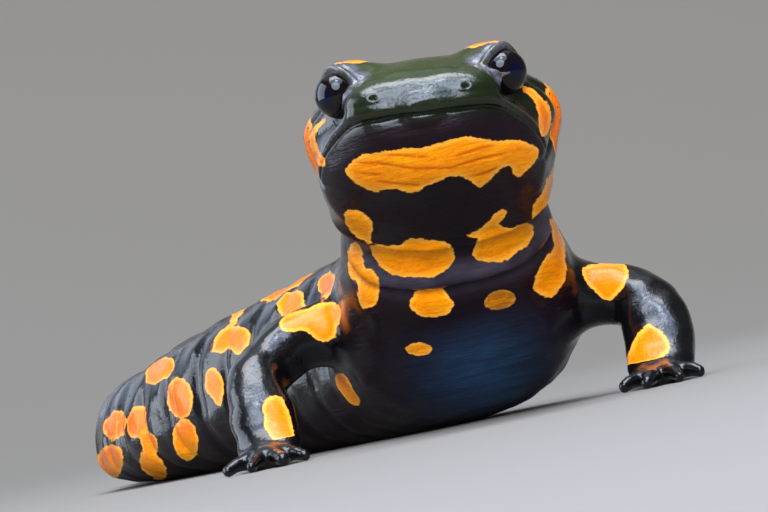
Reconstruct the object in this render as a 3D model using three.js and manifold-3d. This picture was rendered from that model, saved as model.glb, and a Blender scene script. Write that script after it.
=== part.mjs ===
// A fire salamander at life size, in millimetres: +Z up, the snout towards -Y, standing on z = 0.
// Every fleshy length is a loft: a three.js cylinder whose rings are carried along a curve and
// stretched to the body's width and its heights above and below that curve. Neighbouring parts are
// kept a thin gap apart, either by stopping one loft short of the next or by cutting a slightly
// larger copy of the neighbour out of the part.
import * as THREE from 'three';
import { mergeVertices } from 'three/addons/utils/BufferGeometryUtils.js';
import Module from 'manifold-3d';

const wasm = await Module();
wasm.setup();

// ---- driving dimensions, mm ----
const GAP = 0.3; // between neighbouring parts
const BELOW_FLOOR = 100; // depth of the block that trims the soles and belly flat at z = 0
const SECTION_POWER = 2.25; // of the superellipse that every section is: 2 would be a plain ellipse
const TORSO_POWER = 2.5; // the same for neck, trunk and tail, which are a little squarer

// The part's own origin, where the belly rests, seen from the point under the chin that the
// stations below are measured from.
const REST_POINT = [-13.2, 48.0, 0];

// The head stands in a frame of its own: origin midway between the eyes, x to the animal's left,
// y to the nape, z up, rolled and turned a few degrees from the upright.
const HEAD_ORIGIN = [5.6, -2.0, 27.0];
const HEAD_ROLL_DEG = 4.4;
const HEAD_TURN_DEG = -3.0;

// A station is [x, y, z, half width, height above, depth below].
const CRANIUM = [
  [0, -6.1, -2.0, 2.6, 0.7, 0.7],
  [0, -5.5, -1.95, 4.2, 1.3, 1.0],
  [0, -4.6, -1.8, 5.4, 1.95, 1.35],
  [0, -3.0, -1.6, 6.5, 2.7, 1.75],
  [0, -0.4, -1.9, 7.5, 3.85, 1.9],
  [0.1, 2.6, -2.9, 8.8, 5.0, 2.1],
  [0.2, 5.6, -3.9, 9.7, 5.3, 2.7],
  [0.2, 8.6, -4.9, 9.0, 5.0, 3.4],
  [0.1, 11.6, -6.4, 7.6, 4.2, 3.4],
];
const JAW = [
  [0, -6.1, -3.7, 2.8, 0.6, 0.55],
  [0, -5.5, -4.0, 4.5, 0.95, 1.3],
  [0, -3.9, -4.4, 6.2, 1.3, 2.4],
  [0, -1.4, -5.2, 7.9, 1.9, 3.2],
  [0, 1.8, -6.2, 9.0, 2.6, 3.8],
  [0, 4.8, -7.6, 8.9, 3.2, 4.2],
  [0, 7.6, -9.4, 8.5, 3.0, 3.8],
];
// The lips and cheeks, which close the face between skull and jaw.
const FACE = [
  [0, -6.1, -2.9, 2.6, 0.8, 1.1],
  [0, -5.5, -2.95, 4.3, 1.3, 1.7],
  [0, -4.4, -3.05, 5.8, 1.7, 2.1],
  [0, -2.6, -3.3, 7.1, 1.95, 2.6],
  [0, 0.0, -3.9, 8.2, 2.3, 3.1],
  [0.1, 2.8, -4.7, 9.0, 2.8, 3.5],
  [0.2, 5.6, -5.8, 9.2, 3.4, 3.7],
  [0.2, 8.4, -7.2, 8.7, 3.4, 3.7],
];
const SNOUT = [0, -3.9, -2.35, 4.9, 2.95, 1.85]; // [x, y, z, half sizes] of its rounded tip
const HEAD_SWELLINGS = [
  // [shift of the pair to the left, x, y, z, half sizes]; each is repeated on the right
  [0, 5.2, 0.5, 0.2, 2.65, 3.1, 2.35], // brow over the eyeball
  [0.2, 7.1, 5.6, -3.2, 2.9, 4.6, 2.7], // parotoid gland
  [0, 3.5, -4.5, -1.8, 2.1, 1.5, 1.2], // side of the snout by the nostril
];
// Sides and rings of the head's lofts and balls, and the share of each loft rounded off in front.
const CRANIUM_MESH = { sides: 22, rings: 10, domes: [0.04, 0] };
const FACE_MESH = { sides: 20, rings: 8, domes: [0.05, 0] };
const JAW_MESH = { sides: 20, rings: 8, domes: [0.06, 0] };
const SNOUT_MESH = [16, 9];
const EYE_MESH = [16, 10];
const SWELLING_MESH = [11, 7];
const EYE = { x: 6.27, y: -1.3, z: -0.34, radius: 1.98, socket: 2.28 };

// The mouth line, from the front of the lips to the corner of the mouth, falls as it runs back:
// height = start - sag * (distance behind the lips)^2. Behind the corner the cut slopes down.
const MOUTH = { lips: -6.4, corner: 1.8, height: -3.0, sag: 0.06, steps: 8 };
const JAW_CUT = { front: -9, back: 9.5, bottom: -14, halfWidth: 12 };

// Neck, trunk and tail share one curve.
const SPINE = [
  [5.9, 3.4, 21.6, 8.6, 5.4, 5.8],
  [5.6, 8.6, 18.5, 8.0, 5.9, 6.0],
  [5.3, 14.5, 14.0, 9.1, 7.0, 6.6],
  [5.0, 21.0, 9.6, 10.5, 9.5, 8.2],
  [2.4, 29.5, 7.2, 10.6, 10.2, 7.4],
  [-5.0, 38.5, 6.2, 10.6, 9.2, 6.5],
  [-13.2, 48.0, 5.2, 10.9, 8.1, 5.5],
  [-18.3, 57.0, 3.8, 11.1, 7.6, 4.1],
  [-20.4, 65.5, 3.6, 10.3, 7.3, 3.85],
  [-19.3, 73.0, 4.2, 8.2, 6.4, 4.4],
  [-16.2, 80.5, 5.0, 5.7, 5.2, 5.2],
  [-11.5, 89.5, 4.5, 4.7, 4.7, 4.7],
  [-6.1, 99.5, 4.0, 4.1, 4.1, 4.2],
  [-1.0, 110.0, 3.4, 3.5, 3.5, 3.6],
  [3.0, 121.0, 2.8, 2.9, 2.9, 3.0],
  [5.0, 132.0, 2.15, 2.2, 2.2, 2.35],
  [5.0, 143.0, 1.4, 1.45, 1.45, 1.6],
  [4.0, 150.5, 0.75, 0.6, 0.6, 0.85],
];
// Each length of that curve: [name, first station, last station, rings]
const SPINE_PARTS = [
  ['neck', 0, 2.6, 8],
  ['trunk_front', 2.6, 4.6, 6],
  ['trunk_middle', 4.6, 6.6, 6],
  ['trunk_rear', 6.6, 9.4, 8],
  ['tail_base', 9.4, 12, 6],
  ['tail_middle', 12, 14.6, 5],
  ['tail_tip', 14.6, 17, 6],
];
const SPINE_SIDES = 22;
const TAIL_DOME = [0, 0.12]; // share of the tail's last length that is rounded off at its end
// The stretches of the trunk that the fore and hind limbs are cut back to.
const SHOULDERS = { from: 1.6, to: 4.6, rings: 12 };
const HIPS = { from: 6.6, to: 11, rings: 12 };

// Limbs: a curve from inside the trunk to the wrist or ankle, and where each joint crosses it.
const LIMBS = [
  {
    parts: ['upper_arm_left', 'forearm_left'], end: 'hand_left', bend: 3.45,
    stations: [
      [8.5, 20.5, 8.6, 2.6, 2.6, 2.6],
      [13.2, 19.6, 8.6, 3.1, 3.0, 3.0],
      [17.2, 18.2, 8.2, 2.7, 2.6, 2.6],
      [19.9, 16.6, 6.9, 2.7, 2.6, 2.6],
      [20.6, 14.8, 4.9, 2.95, 2.6, 2.4],
      [20.4, 12.8, 3.0, 2.9, 2.1, 1.9],
      [20.1, 11.3, 1.9, 2.7, 1.4, 1.4],
    ],
  },
  {
    parts: ['upper_arm_right', 'forearm_right'], end: 'hand_right', bend: 3.45,
    stations: [
      [0.5, 21.0, 9.6, 2.7, 2.7, 2.7],
      [-4.2, 20.6, 9.9, 3.0, 2.9, 3.0],
      [-8.6, 19.6, 9.6, 2.6, 2.5, 2.6],
      [-11.5, 17.9, 7.9, 2.45, 2.45, 2.45],
      [-12.7, 15.7, 6.2, 2.4, 2.5, 2.3],
      [-12.3, 13.4, 4.0, 2.75, 2.1, 1.9],
      [-12.2, 11.6, 2.2, 2.6, 1.45, 1.45],
    ],
  },
  {
    parts: ['thigh_left', 'shank_left'], end: 'foot_left', bend: 3.2,
    stations: [
      [-15.7, 72.0, 5.4, 2.8, 2.8, 2.8],
      [-11.7, 70.5, 5.4, 3.1, 3.0, 3.1],
      [-7.6, 69.0, 5.6, 2.7, 2.6, 2.7],
      [-4.8, 69.9, 5.2, 2.4, 2.4, 2.4],
      [-4.0, 72.4, 3.9, 2.3, 2.2, 2.1],
      [-4.3, 75.4, 2.3, 1.9, 1.6, 1.6],
    ],
  },
  {
    parts: ['thigh_right', 'shank_right'], end: 'foot_right', bend: 3.2,
    stations: [
      [-22.0, 71.5, 5.4, 2.8, 2.8, 2.8],
      [-24.7, 73.6, 5.4, 3.1, 3.0, 3.1],
      [-27.2, 77.0, 5.5, 2.7, 2.6, 2.7],
      [-28.1, 80.3, 4.9, 2.55, 2.4, 2.4],
      [-27.4, 83.3, 3.6, 2.2, 2.1, 2.0],
      [-26.4, 86.3, 2.1, 1.8, 1.5, 1.5],
    ],
  },
];
const LIMB_SIDES = 11;
const LIMB_RINGS = 6;

// Hands and feet: a low palm with plump clawless fingers fanned about the heading, degrees from
// +X towards +Y. A forefoot has four fingers and a hind foot five toes.
const PALM = { length: 2.7, width: 2.5, height: 1.15, rise: 0.95 };
const PALM_MESH = [11, 7];
const FINGER = { reach: 1.9, root: 0.78, tip: 0.5, wholeLength: 3.4 };
// A finger starts thicker inside the palm and slopes down to its tip.
const FINGER_START = { distance: 0.4, thicker: 1.1 };
const FINGER_HEIGHT = { palm: 1.0, middle: 0.85, tip: 0.5 };
const FINGER_MESH = { sides: 7, rings: 4, domes: [0, 0.16] };
const PAWS = {
  hand_left: { at: [19.8, 9.9], heading: -92, fan: [-50, -17, 15, 46], length: [0.82, 1.0, 1.0, 0.8] },
  hand_right: { at: [-12.5, 10.0], heading: -88, fan: [-52, -17, 15, 46], length: [0.82, 1.0, 1.0, 0.8] },
  foot_left: { at: [-4.6, 77.4], heading: 62, fan: [-58, -30, -4, 21, 46], length: [0.7, 0.95, 1.1, 1.05, 0.75] },
  foot_right: { at: [-25.9, 88.2], heading: 100, fan: [-50, -24, 1, 26, 52], length: [0.75, 1.05, 1.1, 0.95, 0.7] },
};

const BLACK_SKIN = { color: 0x15161a, roughness: 0.32, metalness: 0 };
const ORANGE_SKIN = { color: 0xf08c14, roughness: 0.45, metalness: 0 };
const EYE_GLOSS = { color: 0x0b0a0c, roughness: 0.08, metalness: 0 };

const MERGE_DISTANCE = 1e-4; // vertices closer than this are one
const BLUNT_END = 0.96; // how far round a dome goes: 1 would close it to a point

// ---- geometry helpers ----
const degrees = (angle) => THREE.MathUtils.degToRad(angle);
const sum = (a, b) => a.add(b);

function solidOf(geometry) {
  const bare = geometry.index ? geometry.toNonIndexed() : geometry.clone();
  bare.deleteAttribute('normal');
  bare.deleteAttribute('uv');
  const merged = mergeVertices(bare, MERGE_DISTANCE);
  return new wasm.Manifold(new wasm.Mesh({
    numProp: 3,
    vertProperties: new Float32Array(merged.attributes.position.array),
    triVerts: new Uint32Array(merged.index.array),
  }));
}

function meshOf(name, solid, finish) {
  const { vertProperties, triVerts } = solid.getMesh();
  const geometry = new THREE.BufferGeometry();
  geometry.setAttribute('position', new THREE.BufferAttribute(Float32Array.from(vertProperties), 3));
  geometry.setIndex(new THREE.BufferAttribute(Uint32Array.from(triVerts), 1));
  geometry.computeVertexNormals();
  const mesh = new THREE.Mesh(geometry, new THREE.MeshStandardMaterial(finish));
  mesh.name = name;
  return mesh;
}

// A point on a superellipse of half sizes 1: the plain ellipse pushed out towards its corners.
function superellipse(angle, power) {
  const round = (value) => Math.sign(value) * Math.abs(value) ** (2 / power);
  return [round(Math.cos(angle)), round(Math.sin(angle))];
}

// Carries the rings of a cylinder along the stations from one station number to another. `grow`
// makes every section larger all round. `domes` rounds off an end over that share of the length.
function loft(stations, {
  from = 0, to = stations.length - 1, sides, rings, grow = 0, domes = [0, 0], power = SECTION_POWER,
}) {
  const last = stations.length - 1;
  const centres = new THREE.CatmullRomCurve3(
    stations.map(([x, y, z]) => new THREE.Vector3(x, y, z)), false, 'catmullrom', 0.5);
  const sizes = new THREE.CatmullRomCurve3(
    stations.map(([, , , w, up, down]) => new THREE.Vector3(w, up, down)), false, 'catmullrom', 0.5);
  const geometry = new THREE.CylinderGeometry(1, 1, 1, sides, rings);
  const position = geometry.attributes.position;
  const vertical = new THREE.Vector3(0, 0, 1);
  for (let i = 0; i < position.count; i += 1) {
    const share = THREE.MathUtils.clamp(position.getY(i) + 0.5, 0, 1);
    const t = THREE.MathUtils.clamp((from + share * (to - from)) / last, 0, 1);
    const centre = centres.getPoint(t);
    const tangent = centres.getTangent(t);
    const side = tangent.clone().cross(vertical).normalize();
    const normal = side.clone().cross(tangent);
    const size = sizes.getPoint(t);
    const depth = [(domes[0] - share) / domes[0], (share - 1 + domes[1]) / domes[1]]
      .map((d) => (Number.isFinite(d) ? THREE.MathUtils.clamp(d, 0, BLUNT_END) : 0));
    const dome = Math.sqrt(1 - Math.max(...depth) ** 2);
    const radius = Math.hypot(position.getX(i), position.getZ(i)) * dome;
    const angle = Math.atan2(-position.getZ(i), position.getX(i));
    const [across, above] = superellipse(angle, power);
    const height = (above > 0 ? size.y : size.z) + grow;
    centre.addScaledVector(side, across * (size.x + grow) * radius)
      .addScaledVector(normal, above * height * radius);
    position.setXYZ(i, centre.x, centre.y, centre.z);
  }
  const solid = solidOf(geometry);
  return solid.volume() < 0 ? solidOf(flipped(geometry)) : solid;
}

function flipped(geometry) {
  const turned = geometry.clone();
  const { array } = turned.index;
  for (let i = 0; i < array.length; i += 3) {
    [array[i + 1], array[i + 2]] = [array[i + 2], array[i + 1]];
  }
  return turned;
}

function ellipsoid([x, y, z], [a, b, c], [sides, rings]) {
  const geometry = new THREE.SphereGeometry(1, sides, rings);
  geometry.scale(a, b, c).translate(x, y, z);
  return solidOf(geometry);
}

const floorBlock = (() => {
  const wide = 4 * BELOW_FLOOR;
  const geometry = new THREE.BoxGeometry(wide, wide, BELOW_FLOOR);
  geometry.translate(0, 0, -BELOW_FLOOR / 2);
  return solidOf(geometry);
})();

// ---- the head ----
const headFrame = new THREE.Matrix4()
  .makeTranslation(...HEAD_ORIGIN)
  .multiply(new THREE.Matrix4().makeRotationZ(degrees(HEAD_TURN_DEG)))
  .multiply(new THREE.Matrix4().makeRotationY(degrees(HEAD_ROLL_DEG)));
const inHeadFrame = (solid) => solid.transform(headFrame.elements);

function wholeHead(grow) {
  const lofts = [
    loft(CRANIUM, { ...CRANIUM_MESH, grow }),
    loft(FACE, { ...FACE_MESH, grow }),
    loft(JAW, { ...JAW_MESH, grow }),
  ];
  const [x, y, z, ...tip] = SNOUT;
  const snout = ellipsoid([x, y, z], tip.map((size) => size + grow), SNOUT_MESH);
  const swellings = HEAD_SWELLINGS.flatMap(([shift, sideX, sideY, sideZ, ...half]) => [-sideX, sideX].map(
    (across) => ellipsoid([across + shift, sideY, sideZ], half.map((size) => size + grow), SWELLING_MESH)));
  return inHeadFrame([...lofts, snout, ...swellings].reduce(sum));
}

// Everything below the mouth line, pushed `grow` up and back.
function belowMouth(grow) {
  const { lips, corner, height, sag, steps } = MOUTH;
  const { front, back, bottom, halfWidth } = JAW_CUT;
  const outline = new THREE.Shape().moveTo(front, bottom).lineTo(front, height + grow);
  for (let i = 0; i <= steps; i += 1) {
    const y = THREE.MathUtils.lerp(lips, corner, i / steps);
    outline.lineTo(y + grow, height - sag * (y - lips) ** 2 + grow);
  }
  outline.lineTo(back + grow, bottom);
  const block = new THREE.ExtrudeGeometry(outline, { depth: 2 * halfWidth, bevelEnabled: false });
  block.translate(0, 0, -halfWidth).applyMatrix4(
    new THREE.Matrix4().set(0, 0, 1, 0, 1, 0, 0, 0, 0, 1, 0, 0, 0, 0, 0, 1));
  return inHeadFrame(solidOf(block));
}

function eyeball(sideX, radius) {
  return inHeadFrame(ellipsoid([sideX, EYE.y, EYE.z], [radius, radius, radius], EYE_MESH));
}

function headParts() {
  const sockets = eyeball(-EYE.x, EYE.socket).add(eyeball(EYE.x, EYE.socket));
  const whole = wholeHead(0).subtract(sockets);
  return [
    meshOf('head', largest(whole.subtract(belowMouth(GAP))), BLACK_SKIN),
    meshOf('lower_jaw', largest(whole.intersect(belowMouth(0))), ORANGE_SKIN),
    meshOf('eye_left', eyeball(EYE.x, EYE.radius), EYE_GLOSS),
    meshOf('eye_right', eyeball(-EYE.x, EYE.radius), EYE_GLOSS),
  ];
}

// ---- neck, trunk and tail ----
function spineLength(from, to, rings, grow = 0) {
  const domes = to === SPINE.length - 1 ? TAIL_DOME : [0, 0];
  return loft(SPINE, { from, to, sides: SPINE_SIDES, rings, grow, domes, power: TORSO_POWER });
}

// How much of a station number makes half a gap at that place on the curve.
function halfGap(stations, at) {
  const low = Math.min(Math.floor(at), stations.length - 2);
  const span = stations[low].slice(0, 3).map((value, axis) => stations[low + 1][axis] - value);
  return GAP / 2 / Math.hypot(...span);
}

function spineParts() {
  return SPINE_PARTS.map(([name, from, to, rings]) => {
    const start = from === 0 ? 0 : from + halfGap(SPINE, from);
    const stop = to === SPINE.length - 1 ? to : to - halfGap(SPINE, to);
    const whole = spineLength(start, stop, rings);
    const clear = name === 'neck' ? whole.subtract(wholeHead(GAP)) : whole;
    return meshOf(name, largest(clear.subtract(floorBlock)), BLACK_SKIN);
  });
}

// ---- limbs ----
function limbLength(stations, from, to, rings, grow = 0) {
  return loft(stations, { from, to, sides: LIMB_SIDES, rings, grow });
}

function paw({ at, heading, fan, length }) {
  const [x, y] = at;
  const turn = degrees(heading);
  const palm = ellipsoid([0, 0, 0], [PALM.length, PALM.width, PALM.height], PALM_MESH);
  const placed = palm.transform(new THREE.Matrix4()
    .makeTranslation(x, y, PALM.rise).multiply(new THREE.Matrix4().makeRotationZ(turn)).elements);
  const fingers = fan.map((spread, i) => {
    const way = turn + degrees(spread);
    const out = (distance, z) => [x + distance * Math.cos(way), y + distance * Math.sin(way), z];
    const tip = FINGER.reach + FINGER.wholeLength * length[i];
    const middle = (FINGER.reach + tip) / 2;
    const thick = (radius) => [radius, radius, radius];
    return loft([
      [...out(FINGER_START.distance, FINGER_HEIGHT.palm), ...thick(FINGER.root * FINGER_START.thicker)],
      [...out(FINGER.reach, FINGER_HEIGHT.palm), ...thick(FINGER.root)],
      [...out(middle, FINGER_HEIGHT.middle), ...thick((FINGER.root + FINGER.tip) / 2)],
      [...out(tip, FINGER_HEIGHT.tip), ...thick(FINGER.tip)],
    ], FINGER_MESH);
  });
  return fingers.reduce(sum, placed);
}

function limbParts() {
  const [shoulders, hips] = [SHOULDERS, HIPS].map(
    ({ from, to, rings }) => spineLength(from, to, rings, GAP));
  const torso = shoulders.add(hips);
  return LIMBS.flatMap(({ parts, end, bend, stations }) => {
    const [upperName, lowerName] = parts;
    const gap = halfGap(stations, bend);
    const last = stations.length - 1;
    const upper = limbLength(stations, 0, bend - gap, LIMB_RINGS).subtract(torso);
    const lower = limbLength(stations, bend + gap, last, LIMB_RINGS).subtract(torso);
    const shin = limbLength(stations, bend + gap, last, LIMB_RINGS, GAP);
    const extremity = paw(PAWS[end]).subtract(shin).subtract(torso);
    return [
      meshOf(upperName, largest(upper.subtract(floorBlock)), BLACK_SKIN),
      meshOf(lowerName, largest(lower.subtract(floorBlock)), BLACK_SKIN),
      meshOf(end, largest(extremity.subtract(floorBlock)), BLACK_SKIN),
    ];
  });
}

// Cutting can leave slivers beside the part itself, which are dropped.
function largest(solid) {
  const pieces = solid.decompose();
  return pieces.reduce((best, piece) => (piece.volume() > best.volume() ? piece : best));
}

const salamander = new THREE.Group();
salamander.add(...headParts(), ...spineParts(), ...limbParts());
salamander.position.set(...REST_POINT).negate();

export default salamander;
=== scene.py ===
"""A fire salamander at life size: one wet skin drawn over the frame's body, two glossy eyes and a
plain studio stage. Lengths are in millimetres, measured from the point under the chin that the
body's stations use, and become metres about the resting point when a mesh is made."""
import logging
import math
from dataclasses import dataclass, field
from enum import Enum
from typing import Callable, Protocol, Sequence

import bmesh
import bpy
import numpy as np
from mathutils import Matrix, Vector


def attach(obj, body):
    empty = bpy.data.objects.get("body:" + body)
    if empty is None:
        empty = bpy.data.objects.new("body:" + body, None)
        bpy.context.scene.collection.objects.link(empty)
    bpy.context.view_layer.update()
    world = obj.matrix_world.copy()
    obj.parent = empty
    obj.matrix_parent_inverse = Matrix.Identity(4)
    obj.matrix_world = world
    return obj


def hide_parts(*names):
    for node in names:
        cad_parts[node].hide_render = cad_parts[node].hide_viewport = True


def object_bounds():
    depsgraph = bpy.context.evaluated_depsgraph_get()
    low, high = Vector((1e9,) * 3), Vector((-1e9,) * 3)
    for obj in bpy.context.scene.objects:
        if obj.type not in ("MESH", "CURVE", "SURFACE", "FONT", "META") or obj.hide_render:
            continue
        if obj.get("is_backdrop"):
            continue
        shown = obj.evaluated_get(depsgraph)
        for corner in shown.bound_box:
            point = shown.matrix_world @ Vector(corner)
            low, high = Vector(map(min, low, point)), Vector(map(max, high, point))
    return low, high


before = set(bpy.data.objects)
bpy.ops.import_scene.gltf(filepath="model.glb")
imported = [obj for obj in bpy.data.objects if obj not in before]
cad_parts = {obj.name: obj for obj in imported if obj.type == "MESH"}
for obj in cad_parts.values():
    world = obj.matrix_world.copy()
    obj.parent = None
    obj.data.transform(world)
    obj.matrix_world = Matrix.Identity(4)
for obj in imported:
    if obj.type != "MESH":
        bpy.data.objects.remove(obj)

import openvdb
from mathutils import Matrix, Vector
from mathutils.bvhtree import BVHTree

logging.basicConfig(level=logging.INFO, format="%(message)s")
log = logging.getLogger("salamander")

MM = 0.001
REST_POINT = np.array([-13.2, 48.0, 0.0])  # where the belly rests: the frame's origin
FAR = 6.0  # the field's value where no part is near, mm
FRAME_WIDTH, FRAME_HEIGHT = 768, 512
INSET = 0.00002  # how far inside the frame's box the skin stays, in metres
TINY = 1e-6  # keeps a divisor or a root away from zero
SIDES = (-1.0, 1.0)  # the animal's right and left
ROWS_AT_ONCE = 100_000  # how many points are compared with a curve in one go

Array = np.ndarray
Row = tuple[float, ...]
Socket = bpy.types.NodeSocket


def smooth_min(a: Array, b: Array, width: float) -> Array:
    """Joins two fields with a soft fillet.

    Args:
        a: one signed field, negative inside.
        b: the other.
        width: how far from the crease the fillet reaches, mm.

    Returns:
        The field of both bodies together.
    """
    share = np.clip(0.5 + 0.5 * (b - a) / width, 0.0, 1.0)
    return b + (a - b) * share - width * share * (1.0 - share)


def smooth_max(a: Array, b: Array, width: float) -> Array:
    """The soft overlap of two bodies, as smooth_min gives their soft union."""
    return -smooth_min(-a, -b, width)


def bump(distance: Array, width: float) -> Array:
    """A bell of height 1 and this half width, for grooves, pits and swellings."""
    return np.exp(-((distance / width) ** 2))


def ramp(value: Array, low: float, high: float) -> Array:
    """Rises smoothly from 0 at low to 1 at high."""
    share = np.clip((value - low) / (high - low), 0.0, 1.0)
    return share * share * (3.0 - 2.0 * share)


def window(value: Array, rise: Row, fall: Row) -> Array:
    """Rises smoothly from 0 to 1 over one range and falls back over another."""
    return ramp(value, *rise) * (1 - ramp(value, *fall))


def catmull_rom(points: Array, at: Array) -> Array:
    """Points on the smooth curve through control points.

    Args:
        points: one control point to a row.
        at: where on the curve, in numbers of control points from the first.

    Returns:
        One row for each place asked for.
    """
    ends = np.vstack([2 * points[0] - points[1], points, 2 * points[-1] - points[-2]])
    low = np.clip(np.floor(at).astype(int), 0, len(points) - 2)
    t = (at - low)[:, None]
    a, b, c, d = (ends[low + k] for k in range(4))
    return 0.5 * (2 * b + (c - a) * t + (2 * a - 5 * b + 4 * c - d) * t**2
                  + (3 * b - a - 3 * c + d) * t**3)


# ---------------------------------------------------------------- shapes as fields


@dataclass
class Loft:
    """A length of body: superellipse sections carried along a curve.

    Each station is x, y, z, half width, height above and depth below the curve.
    """

    stations: Sequence[Row]
    power: float = 2.25
    domes: tuple[float, float] = (0.0, 0.0)
    fillet: float = 1.0
    steps_per_station: int = 6
    thinnest: float = 0.05  # a section's least half size, mm
    dome_limit: float = 0.96  # how far into a domed end the sections go on shrinking
    core: float = 0.3  # inside this share of a section the field is level,
    core_depth: float = 0.7  # at this share of the section's smaller half size

    def __post_init__(self) -> None:
        """Samples the curve, its sections and the frame that each section lies in."""
        rows = np.array(self.stations, float)
        last = len(rows) - 1
        self.at = np.linspace(0, last, last * self.steps_per_station + 1)
        curve = catmull_rom(rows, self.at)
        self.centres, sizes = curve[:, :3], np.maximum(curve[:, 3:], self.thinnest)
        share = self.at / last
        depth = np.zeros_like(share)
        if self.domes[0]:
            depth = np.maximum(depth, (self.domes[0] - share) / self.domes[0])
        if self.domes[1]:
            depth = np.maximum(depth, (share - 1 + self.domes[1]) / self.domes[1])
        self.sizes = sizes * np.sqrt(1 - np.clip(depth, 0, self.dome_limit) ** 2)[:, None]
        tangents = np.gradient(self.centres, axis=0)
        self.tangents = tangents / np.linalg.norm(tangents, axis=1)[:, None]
        sides = np.cross(self.tangents, [0.0, 0.0, 1.0])
        self.sides = sides / np.linalg.norm(sides, axis=1)[:, None]
        self.normals = np.cross(self.sides, self.tangents)
        steps = np.linalg.norm(np.diff(self.centres, axis=0), axis=1)
        self.lengths = np.concatenate([[0.0], np.cumsum(steps)])
        widest = float(self.sizes.max())
        self.low = self.centres.min(0) - widest
        self.high = self.centres.max(0) + widest

    def locate(self, points: Array) -> tuple[Array, Array, Array, Array, Array]:
        """Finds points along and across the curve.

        Args:
            points: one point to a row.

        Returns:
            The sample number, the distances to the side, above and ahead of the curve there,
            and the section's half width and height on that side.
        """
        nearest = np.empty(len(points), int)
        squares = (self.centres**2).sum(1)
        for start in range(0, len(points), ROWS_AT_ONCE):
            block = points[start:start + ROWS_AT_ONCE]
            nearest[start:start + len(block)] = np.argmin(squares - 2 * block @ self.centres.T, axis=1)
        step = np.gradient(self.lengths)[nearest]
        ahead = ((points - self.centres[nearest]) * self.tangents[nearest]).sum(1) / step
        place = np.clip(nearest + np.clip(ahead, -1, 1), 0, len(self.at) - 1)
        low = np.minimum(place.astype(int), len(self.at) - 2)
        share = (place - low)[:, None]

        def mix(values: Array) -> Array:
            """Blends the samples on either side of each place."""
            return values[low] * (1 - share) + values[low + 1] * share

        offset = points - mix(self.centres)
        across = (offset * mix(self.sides)).sum(1)
        above = (offset * mix(self.normals)).sum(1)
        beyond = (offset * mix(self.tangents)).sum(1)
        sizes = mix(self.sizes)
        height = np.where(above > 0, sizes[:, 1], sizes[:, 2])
        return place, across, above, beyond, np.stack([sizes[:, 0], height], 1)

    def field(self, points: Array) -> Array:
        """Signed distance from the surface, nearly, in mm."""
        place, across, above, beyond, sizes = self.locate(points)
        rho = np.abs(across / sizes[:, 0]) ** self.power + np.abs(above / sizes[:, 1]) ** self.power
        rho = np.maximum(rho, TINY) ** (1 / self.power)
        radial = np.maximum(np.hypot(across, above), 1e-4) * (1 - 1 / rho)
        radial = np.where(rho < self.core, -self.core_depth * sizes.min(1), radial)
        at_end = (place <= 0) | (place >= len(self.at) - 1)
        past = np.where(at_end, np.abs(beyond), 0.0)
        beyond_end = np.where(radial > 0, np.hypot(radial, past), np.maximum(radial, past))
        return np.where(at_end, beyond_end, radial)


@dataclass
class Ellipsoid:
    """A rounded swelling with its own half sizes, turned about the vertical."""

    centre: Row
    half: Row
    turn_deg: float = 0.0
    fillet: float = 1.0

    def __post_init__(self) -> None:
        """Works out the box that holds it."""
        self.low = np.array(self.centre) - max(self.half)
        self.high = np.array(self.centre) + max(self.half)

    def field(self, points: Array) -> Array:
        """Signed distance from the surface, nearly, in mm."""
        cos, sin = math.cos(math.radians(self.turn_deg)), math.sin(math.radians(self.turn_deg))
        offset = points - np.array(self.centre)
        local = np.stack([cos * offset[:, 0] + sin * offset[:, 1],
                          cos * offset[:, 1] - sin * offset[:, 0], offset[:, 2]], 1)
        half = np.array(self.half)
        near = np.maximum(np.linalg.norm(local / half, axis=1), TINY)
        steep = np.maximum(np.linalg.norm(local / half**2, axis=1), TINY)
        return near * (near - 1) / steep


@dataclass
class Finger:
    """A chain of cones with round ends through x, y, z, radius rows."""

    rows: Sequence[Row]
    fillet: float = 0.45

    def __post_init__(self) -> None:
        """Works out the box that holds it."""
        table = np.array(self.rows)
        widest = table[:, 3].max()
        self.low, self.high = table[:, :3].min(0) - widest, table[:, :3].max(0) + widest

    def field(self, points: Array) -> Array:
        """Signed distance from the surface, nearly, in mm."""
        total = np.full(len(points), FAR)
        for first, second in zip(self.rows, self.rows[1:]):
            start, run = np.array(first[:3]), np.array(second[:3]) - np.array(first[:3])
            share = np.clip((points - start) @ run / (run @ run), 0.0, 1.0)
            away = np.linalg.norm(points - start - share[:, None] * run, axis=1)
            total = np.minimum(total, away - first[3] - share * (second[3] - first[3]))
        return total


class Shape(Protocol):
    """Anything with a box and a field."""

    low: Array
    high: Array
    fillet: float

    def field(self, points: Array) -> Array:
        """Signed distance from the surface, nearly, in mm."""


def near(shape: Shape, points: Array, margin: float) -> Array:
    """Which points lie in the shape's box, grown by margin."""
    return ((points > shape.low - margin) & (points < shape.high + margin)).all(1)


def joined(shapes: Sequence[Shape], points: Array, total: Array | None = None) -> Array:
    """Soft union of shapes, each with its own fillet.

    Args:
        shapes: what is joined, in order.
        points: where the field is wanted.
        total: a field to add them to; a new one is begun without it.

    Returns:
        The joined field.
    """
    total = np.full(len(points), FAR) if total is None else total
    for shape in shapes:
        chosen = near(shape, points, FAR * 0.5)
        if chosen.any():
            total[chosen] = smooth_min(total[chosen], shape.field(points[chosen]), shape.fillet)
    return total


# ---------------------------------------------------------------- the animal's parts


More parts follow.
